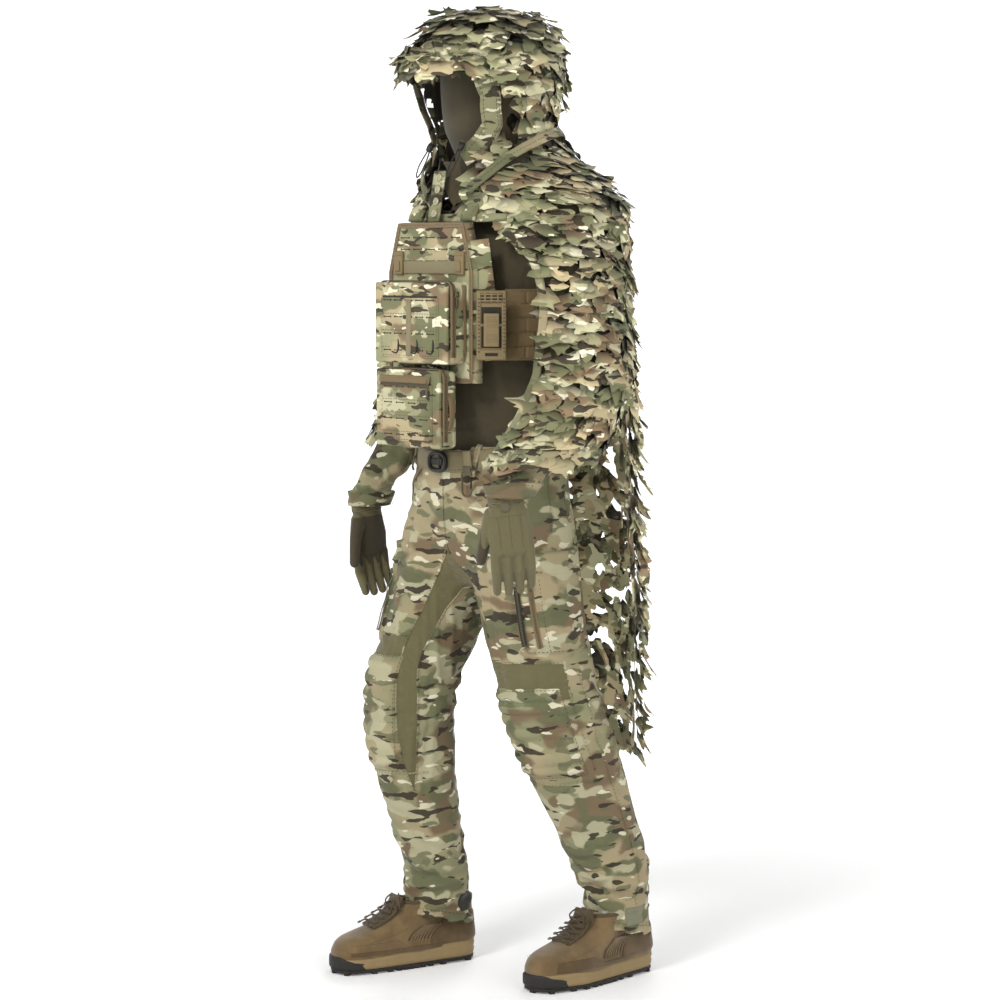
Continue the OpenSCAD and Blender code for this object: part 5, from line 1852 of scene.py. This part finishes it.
def lower_pouch():
    """The lower pouch: a slotted lid with its own zipped pocket, side loops and a hanger."""
    width, height, lid = 0.192, 0.146, "lower_pouch_lid"
    sagging_case(width, 0.036, height, 1.040, -0.156, "lower_pouch_body", "lower_pouch_case")
    pouch_front(width, 0.009, height, (0, -0.1971, 1.040), "lower_front", lid, 4, 4)
    zip_round("lower", width, 0.144, -0.1880, 1.041)
    route = path((-0.078, -0.2032, 1.158), (0.070, -0.2032, 1.158))
    tape, teeth = zipper(route, [FRONT] * len(route), 0.016, 0.0046)
    piece("lower_zip_tape_front", tape, TAPE, lid, "olive_webbing")
    piece("lower_zip_teeth_front", teeth, OLIVEP, lid, "olive_plastic", smooth=False)
    route = path((-0.080, -0.2042, 1.168), (0.072, -0.2042, 1.168))
    cover = ribbon(route, [(0, -1, 0.3)] * len(route), 0.014, 0.0022)
    piece("lower_zip_cover", cover, COYOTE, lid, "coyote_nylon")
    piece("lower_pull", pull((0.066, -0.2050, 1.156)), ZIPM, "pocket_zip_slider", "olive_metal",
          stands_for=("pocket_zip_slider",))
    handles = []
    for s in (-1, 1):
        shares = np.linspace(0, 1, 12)
        route = [(s * (0.0965 + 0.007 * math.sin(math.pi * k)), -0.176, 1.075 + 0.065 * k) for k in shares]
        handles.append(ribbon(route, [(s, 0, 0)] * 12, 0.012, 0.0024))
    piece("lower_side_loops", joined(handles), COYOTE, slot="coyote_nylon")
    hanger = moved(soft_box(0.120, 0.004, 0.030, 0.0016), (0, -0.150, 1.190))
    piece("pouch_hanger", hanger, GEAR, slot="camo_cloth")


carrier()
upper_pouch()
lower_pouch()


# ---------------------------------------------------------------- gloves
def egg(at, size, n=20):
    """A closed ball squeezed to size, as (points, faces)."""
    verts = [(0, 0, size[2] / 2)]
    for j in range(1, n // 2):
        b = math.pi * j / (n // 2)
        verts += [(size[0] / 2 * math.sin(b) * math.cos(a), size[1] / 2 * math.sin(b) * math.sin(a),
                   size[2] / 2 * math.cos(b)) for a in circle(n)]
    verts.append((0, 0, -size[2] / 2))
    faces = [(0, 1 + i, 1 + (i + 1) % n) for i in range(n)]
    for j in range(n // 2 - 2):
        faces += [(1 + j * n + i, 1 + (j + 1) * n + i, 1 + (j + 1) * n + (i + 1) % n, 1 + j * n + (i + 1) % n)
                  for i in range(n)]
    last = len(verts) - 1
    faces += [(last, last - n + (i + 1) % n, last - n + i) for i in range(n)]
    return moved((verts, faces), at)


def bridge(a, size_a, b, size_b, count=6):
    """A row of overlapping eggs from one place to another."""
    a, b, size_a, size_b = (np.asarray(v, float) for v in (a, b, size_a, size_b))
    return [egg(a + (b - a) * t, size_a + (size_b - size_a) * t, 14) for t in np.linspace(0, 1, count)]


# how each glove hangs, and how far its fingers curl
GLOVES = {1: (dict(at=(0.303, -0.214, 0.962), turn=-36, lean=7), 0.016),
          -1: (dict(at=(-0.290, -0.078, 0.904), lean=4, mirror=True), 0.020)}


def fingers(curl):
    """A hand as rows of eggs: the palm, four fingers and the thumb."""
    wrist, palm, knuckles = (0.044, 0.060, 0.030), (0.036, 0.086, 0.044), (0.030, 0.084, 0.028)
    parts = bridge((0, 0, 0.006), wrist, (0, 0.002, -0.060), palm, 10)
    parts += bridge((0, 0.002, -0.060), palm, (-0.001, 0.002, -0.092), knuckles, 6)
    for k in range(4):
        base = np.array((-0.003, -0.030 + k * 0.0208, -0.096))
        reach = 0.012 * math.sin(math.radians(45 + k * 40))
        tip = np.array((-0.006 - curl, -0.034 + k * 0.0212, -0.158 - reach))
        middle = base + (tip - base) * 0.5 + np.array((0.007, 0, 0))
        parts += bridge(base, (0.023, 0.0205, 0.022), middle, (0.022, 0.0200, 0.020), 8)
        parts += bridge(middle, (0.022, 0.0200, 0.020), tip, (0.0180, 0.0160, 0.020), 8)
    root, joint, end = (-0.008, -0.030, -0.030), (-0.013, -0.042, -0.062), (-0.024, -0.056, -0.106)
    parts += bridge(root, (0.030, 0.028, 0.036), joint, (0.024, 0.023, 0.030), 6)
    parts += bridge(joint, (0.024, 0.023, 0.030), end, (0.020, 0.020, 0.024), 8)
    return parts


def glove_hand(side):
    """One glove's remeshed hand, knitted but for its palm, and a tree to drop trims onto it."""
    place, curl = GLOVES[side]
    name = SIDES[side]
    hand = remeshed(f"glove_shape_{name}", [moved(p, **place) for p in fingers(curl)], 0.0021, 2)
    finer = hand.modifiers.new("finer", "SUBSURF")
    finer.levels = finer.render_levels = 1
    bake(hand)
    hand.data.materials.clear()
    hand.data.polygons.foreach_set("use_smooth", [True] * len(hand.data.polygons))
    hand.data.transform(Matrix.Translation(Vector(SHIFT)))
    spin = np.array(Matrix.Rotation(math.radians(place.get("turn", 0)), 3, "Z")
                    @ Matrix.Rotation(math.radians(place.get("lean", 0)), 3, "X"))

    def palm_side(p):
        local = spin.T @ (p - np.array(place["at"]))
        local[0] *= side
        middle = -0.003 - (0.003 + curl) * max(0.0, -0.096 - local[2]) / 0.062
        return 0 if local[0] > middle - 0.005 or local[2] > -0.02 else 1

    dress(hand, (KNIT, PALM), palm_side)
    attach(hand, "suit")
    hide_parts(f"glove_{name}")
    return BVHTree.FromPolygons([tuple(np.array(v.co[:]) - SHIFT) for v in hand.data.vertices],
                                [tuple(p.vertices) for p in hand.data.polygons])


def onto(tree, place, spot, out=0.0006):
    """The point and normal where a spot (across, up) of a hand's own frame lands on its back, or None."""
    outside = moved(([(0.05, spot[0], spot[1])], []), **place)[0][0]
    inside = moved(([(-0.05, spot[0], spot[1])], []), **place)[0][0]
    hit, normal, index, far = tree.ray_cast(Vector(outside), Vector(unit(inside - outside)), 0.1)
    if hit is None:
        return None
    return np.array(hit) + np.array(normal) * out, np.array(normal)


def glove(side):
    """A glove: its hand, the seams over the back, the shirring, the round badge and the cuff."""
    name, place = SIDES[side], GLOVES[side][0]
    tree = glove_hand(side)
    lines = [[(y, z) for z in np.linspace(-0.030, -0.092, 14)] for y in (-0.019, 0.001, 0.021)]
    lines.append([(y, -0.030) for y in np.linspace(-0.030, 0.032, 14)])
    seams_found = []
    for line in lines:
        spots = [s for s in (onto(tree, place, q) for q in line) if s]
        if len(spots) > 2:
            seams_found.append(stitches([p for p, n in spots], [n for p, n in spots], 0.003, 0.002, 0.0008))
    piece(f"glove_seams_{name}", joined(seams_found), THREAD, slot="olive_knit", smooth=False)
    round_wrist = np.linspace(0, 2 * math.pi, 40, endpoint=False)
    folds = []
    for k in range(5):
        z = 0.010 - 0.0046 * k
        ring = [(0.0228 * math.cos(a) * (1 - 0.04 * k), 0.0312 * math.sin(a), z + 0.0012 * math.sin(9 * a + k))
                for a in round_wrist]
        folds.append(sweep(ring, 0.0026, 8, closed=True))
    piece(f"glove_shirring_{name}", moved(joined(folds), **place), KNIT, slot="olive_knit")
    spot = onto(tree, place, (-0.004, -0.012), 0.0)
    if spot:
        badge = moved(disc(0.010, 0.0022, 28), spot[0] + spot[1] * 0.0005, turn=place.get("turn", 0) + 90 * side)
        piece(f"glove_badge_{name}", badge, OLIVEP, slot="olive_knit")
    verts = []
    for z, w, d in ((0.004, 0.0250, 0.0335), (0.020, 0.0285, 0.0370), (0.030, 0.0300, 0.0385)):
        verts += [(w * math.cos(a), d * math.sin(a), z) for a in round_wrist]
    cuff = moved((verts, grid_faces(3, len(round_wrist))), **place)
    piece(f"glove_cuff_{name}", cuff, KNIT, slot="olive_knit")


# ---------------------------------------------------------------- boots
BOOT_STEPS = 72   # points round a boot, from the toe


def sole_outline(n=BOOT_STEPS):
    """The sole's plan from heel to toe, as a closed ring about its own middle line."""
    rounds = [((0, -0.040), 0.039), ((0.004, -0.2108), 0.052), ((-0.002, -0.264), 0.044)]
    ring = []
    for i in range(n):
        a = 2 * math.pi * i / n
        d = np.array((math.sin(a), -math.cos(a)))
        centre = np.array((0.001, -0.155))
        reach = 1.0
        for b in np.linspace(0, 2 * math.pi, 240, endpoint=False):
            e = np.array((math.cos(b), math.sin(b)))
            if d.dot(e) > 0.02:
                edge = max(np.array(c).dot(e) + r for c, r in rounds)
                reach = min(reach, (edge - centre.dot(e)) / d.dot(e))
        ring.append(centre + d * reach)
    return ring


OUTLINE = sole_outline()
# Height, width scale, toe end and heel end of the boot's shape above its sole.
UPPER = np.array([(0.030, 1.00, -0.3080, 0.000), (0.045, 1.005, -0.3065, 0.001),
                  (0.058, 0.97, -0.3000, 0.001), (0.068, 0.90, -0.2860, 0.000),
                  (0.076, 0.82, -0.2600, -0.001), (0.086, 0.76, -0.2260, -0.002),
                  (0.097, 0.73, -0.1980, -0.003), (0.110, 0.70, -0.1760, -0.004),
                  (0.128, 0.68, -0.1620, -0.005)])


def boot_point(i, z, out=0.0):
    """The point at step i round the boot at height z."""
    p = OUTLINE[int(i) % BOOT_STEPS] * (1 - i % 1) + OUTLINE[(int(i) + 1) % BOOT_STEPS] * (i % 1)
    wide, toe, heel = (float(np.interp(z, UPPER[:, 0], UPPER[:, k])) for k in (1, 2, 3))
    along = (p[1] + 0.308) / 0.307
    y = toe + (heel - toe) * along
    away = unit((p[0] / 0.052, (p[1] + 0.155) / 0.155 * 0.5))
    return np.array((p[0] * wide + away[0] * out, y + away[1] * out, z))


def boot_ring(z, out=0.0):
    """The boot's points at height z, all the way round."""
    return [boot_point(i, z, out) for i in range(BOOT_STEPS)]


def flat_ring(z, out):
    """The sole's outline at height z, straight below the upper."""
    return [p * (1, 1, 0) + (0, 0, z) for p in boot_ring(0.031, out)]


def boot_patch(stops, out, thick=0.0016, nu=24, nv=8):
    """A sewn overlay: stops are (step round, low, high) along it."""
    rows = np.array(stops)
    verts = []
    for a in range(nu + 1):
        t = rows[0, 0] + (rows[-1, 0] - rows[0, 0]) * a / nu
        low, high = np.interp(t, rows[:, 0], rows[:, 1]), np.interp(t, rows[:, 0], rows[:, 2])
        for b in range(nv + 1):
            raised = (out + thick + 0.001) * rounded(5 * min(a / nu, 1 - a / nu, b / nv, 1 - b / nv))
            verts.append(boot_point(t % BOOT_STEPS, low + (high - low) * b / nv, -0.001 + raised))
    return verts, grid_faces(nu + 1, nv + 1, ring=False)


def boot(side):
    """A boot: its upper, trims, laces and sole, each put in place by add."""
    name = SIDES[side]
    place = dict(at=(-0.119, 0.053, 0), turn=-12, mirror=True)
    if side > 0:
        place = dict(at=(0.170, 0.260, 0), turn=2)

    def add(label, shape, material, slot, smooth=True, replaced=()):
        piece(f"boot_{label}_{name}", moved(shape, **place), material, slot=slot, smooth=smooth,
              stands_for=[f"boot_{node}_{name}" for node in replaced])

    boot_upper(add)
    boot_trims(add)
    boot_laces(add)
    boot_sole(add)


def boot_upper(add):
    """The suede shell, rolled in at the ankle, with its mesh windows and overlays."""
    levels = list(np.linspace(0.030, 0.128, 30))
    verts = [p for z in levels for p in boot_ring(z)]
    verts += [p for z in (0.130, 0.126, 0.105) for p in boot_ring(z, -0.005)]
    faces = grid_faces(len(levels) + 3, BOOT_STEPS)
    add("suede", (verts, faces), SUEDE, "brown_suede", replaced=("upper",))
    windows, overlays = [], []
    for flip in (1, -1):
        def around(*stops):
            return [(t % BOOT_STEPS if flip > 0 else BOOT_STEPS - t, low, high) for t, low, high in stops]

        window = around((14, 0.052, 0.066), (18, 0.050, 0.088), (24, 0.050, 0.090), (27, 0.056, 0.084))
        rand = around((3, 0.036, 0.060), (10, 0.036, 0.062), (15, 0.036, 0.048), (30, 0.036, 0.046))
        heel = around((26, 0.040, 0.100), (30, 0.040, 0.098), (36, 0.040, 0.104))
        ankle = around((16.5, 0.086, 0.112), (20, 0.088, 0.124), (23, 0.094, 0.124))
        windows.append(boot_patch(window, 0.0004))
        overlays.append(boot_patch(rand, 0.0008, 0.0018, 30, 6))
        overlays.append(boot_patch(heel, 0.0010, 0.0022))
        overlays.append(boot_patch(ankle, 0.0006, 0.0016))
    add("mesh", joined(windows), MESHY, "brown_suede")
    add("overlay", joined(overlays), SUEDE_DARK, "brown_suede")


def boot_trims(add):
    """Stitching along the overlays, bars over the mesh, the collar's roll and the tongue."""
    seam_lines = (([(3, 0.0595), (10, 0.0615), (15, 0.0475), (30, 0.0455)], 0.0030),
                  ([(26.5, 0.042), (26.5, 0.070), (27.5, 0.098)], 0.0036),
                  ([(5, 0.062), (8, 0.074), (9, 0.082)], 0.0016))
    rows, bars = [], []
    for flip in (1, -1):
        for stops, out in seam_lines:
            line = []
            for (t0, z0), (t1, z1) in zip(stops, stops[1:]):
                for q in np.linspace(0, 1, 8):
                    t = t0 + (t1 - t0) * q
                    line.append(boot_point(t if flip > 0 else BOOT_STEPS - t, z0 + (z1 - z0) * q, out))
            away = [unit((p[0], (p[1] + 0.155) * 0.1, 0)) for p in line]
            rows.append(stitches(line, away, 0.0032, 0.002, 0.0009))
        for k in range(7):
            t = 15.5 + 1.6 * k
            spots = [boot_point(t + 1.2 * q if flip > 0 else BOOT_STEPS - t - 1.2 * q, 0.053 + 0.031 * q, 0.0030)
                     for q in np.linspace(0, 1, 8)]
            bars.append(ribbon(spots, [unit(np.array((s[0], 0, 0))) for s in spots], 0.0030, 0.0012))
    add("stitching", joined(rows), THREAD, "brown_suede", smooth=False)
    add("bars", joined(bars), SUEDE, "brown_suede")
    add("collar", sweep(boot_ring(0.128, -0.002), 0.0042, 10, closed=True), MESHY, "brown_suede")
    tongue = [(0, -0.230, 0.0835), (0, -0.205, 0.094), (0, -0.186, 0.106), (0, -0.172, 0.122), (0, -0.164, 0.140)]
    fine = curve_points(tongue, 5)
    add("tongue", ribbon(fine, [unit((0, -0.6, 0.8))] * len(fine), 0.050, 0.006), MESHY, "brown_suede")


def boot_laces(add):
    """Six crossed rows of lace through eyelets, and a bow with its knot."""
    laces, eyes = [], []
    n = unit((0, -0.55, 0.84))
    for k in range(6):
        t = k / 5
        y, z = -0.236 + 0.072 * t, 0.0870 + 0.040 * t
        for s in (-1, 1):
            p = np.array((s * 0.023, y, z)) + n * 0.003
            q = np.array((-s * 0.023, y + 0.014, z + 0.008)) + n * 0.003
            middle = (p + q) / 2 + n * (0.0075 if s > 0 else 0.0055)
            laces.append(sweep(curve_points([p, middle, q], 6), 0.0016, 8))
            eye = [p + n * 0.001 + np.array((0.0028 * math.cos(a), 0.0028 * math.sin(a), 0.0016 * math.sin(a)))
                   for a in np.linspace(0, 2 * math.pi, 12, endpoint=False)]
            eyes.append(sweep(eye, 0.0009, 6, closed=True))
    top = np.array((0, -0.158, 0.134))
    for s in (-1, 1):
        loop = [top, top + (s * 0.016, -0.012, 0.006), top + (s * 0.032, -0.018, -0.008),
                top + (s * 0.024, -0.014, -0.016), top]
        end = [top, top + (s * 0.012, -0.020, -0.006), top + (s * 0.022, -0.034, -0.022)]
        laces += [sweep(curve_points(line, 6), 0.0015, 8) for line in (loop, end)]
    laces.append(egg(top, (0.008, 0.007, 0.006), 12))
    add("laces", joined(laces), LACE, "brown_lace", replaced=("laces",))
    add("eyelets", joined(eyes), ZIPM, "olive_metal")


def boot_sole(add):
    """The foam midsole, lifted at the heel, and the rubber outsole with its lugs and toe cap."""
    profile = [(0.009, -0.003), (0.013, 0.0005), (0.020, 0.0020), (0.024, 0.0004), (0.028, 0.0022), (0.034, 0.0014)]
    verts = []
    for k, (z, out) in enumerate(profile):
        for i, p in enumerate(boot_ring(0.031, out - 0.0012)):
            heel = 0.5 + 0.5 * math.cos(2 * math.pi * (i - BOOT_STEPS // 2) / BOOT_STEPS)
            lift = (0.006 * heel ** 2 + 0.0025 * math.sin(2 * math.pi * i / 18)) * (k / 5) ** 2
            verts.append((p[0], p[1], z + lift))
    verts += flat_ring(0.034, -0.012)
    faces = grid_faces(len(profile) + 1, BOOT_STEPS) + [tuple(range(BOOT_STEPS))[::-1]]
    add("foam", (verts, faces), MIDSOLE, "tan_foam", replaced=("midsole",))
    base = []
    for z, out in ((0.004, -0.004), (0.0042, -0.001), (0.009, -0.0004), (0.0105, -0.003)):
        base += flat_ring(z, out)
    lugs = [(base, grid_faces(4, BOOT_STEPS) + lids(4, BOOT_STEPS))]
    for i in range(0, BOOT_STEPS, 3):
        p, q = boot_point(i, 0.031, -0.0065), boot_point(i + 1, 0.031, -0.0065)
        turn = math.degrees(math.atan2(q[1] - p[1], q[0] - p[0]))
        lugs.append(moved(soft_box(0.011, 0.012, 0.0086, 0.0012, count=2), (p[0], p[1], 0.0045), turn))
    for y in np.arange(-0.27, -0.03, 0.024):
        for x, turn in ((-0.016, -20), (0.014, 20)):
            lugs.append(moved(soft_box(0.018, 0.012, 0.0086, 0.0012, count=2), (x, y, 0.0045), turn))
    cap = [(-5, 0.010, 0.022), (-2, 0.010, 0.037), (2, 0.010, 0.037), (5, 0.010, 0.022)]
    lugs.append(boot_patch(cap, 0.0018, 0.0014, 24, 8))
    add("lugs", joined(lugs), OUTSOLE, "black_rubber", replaced=("outsole",))


for each in (1, -1):
    glove(each)
    boot(each)
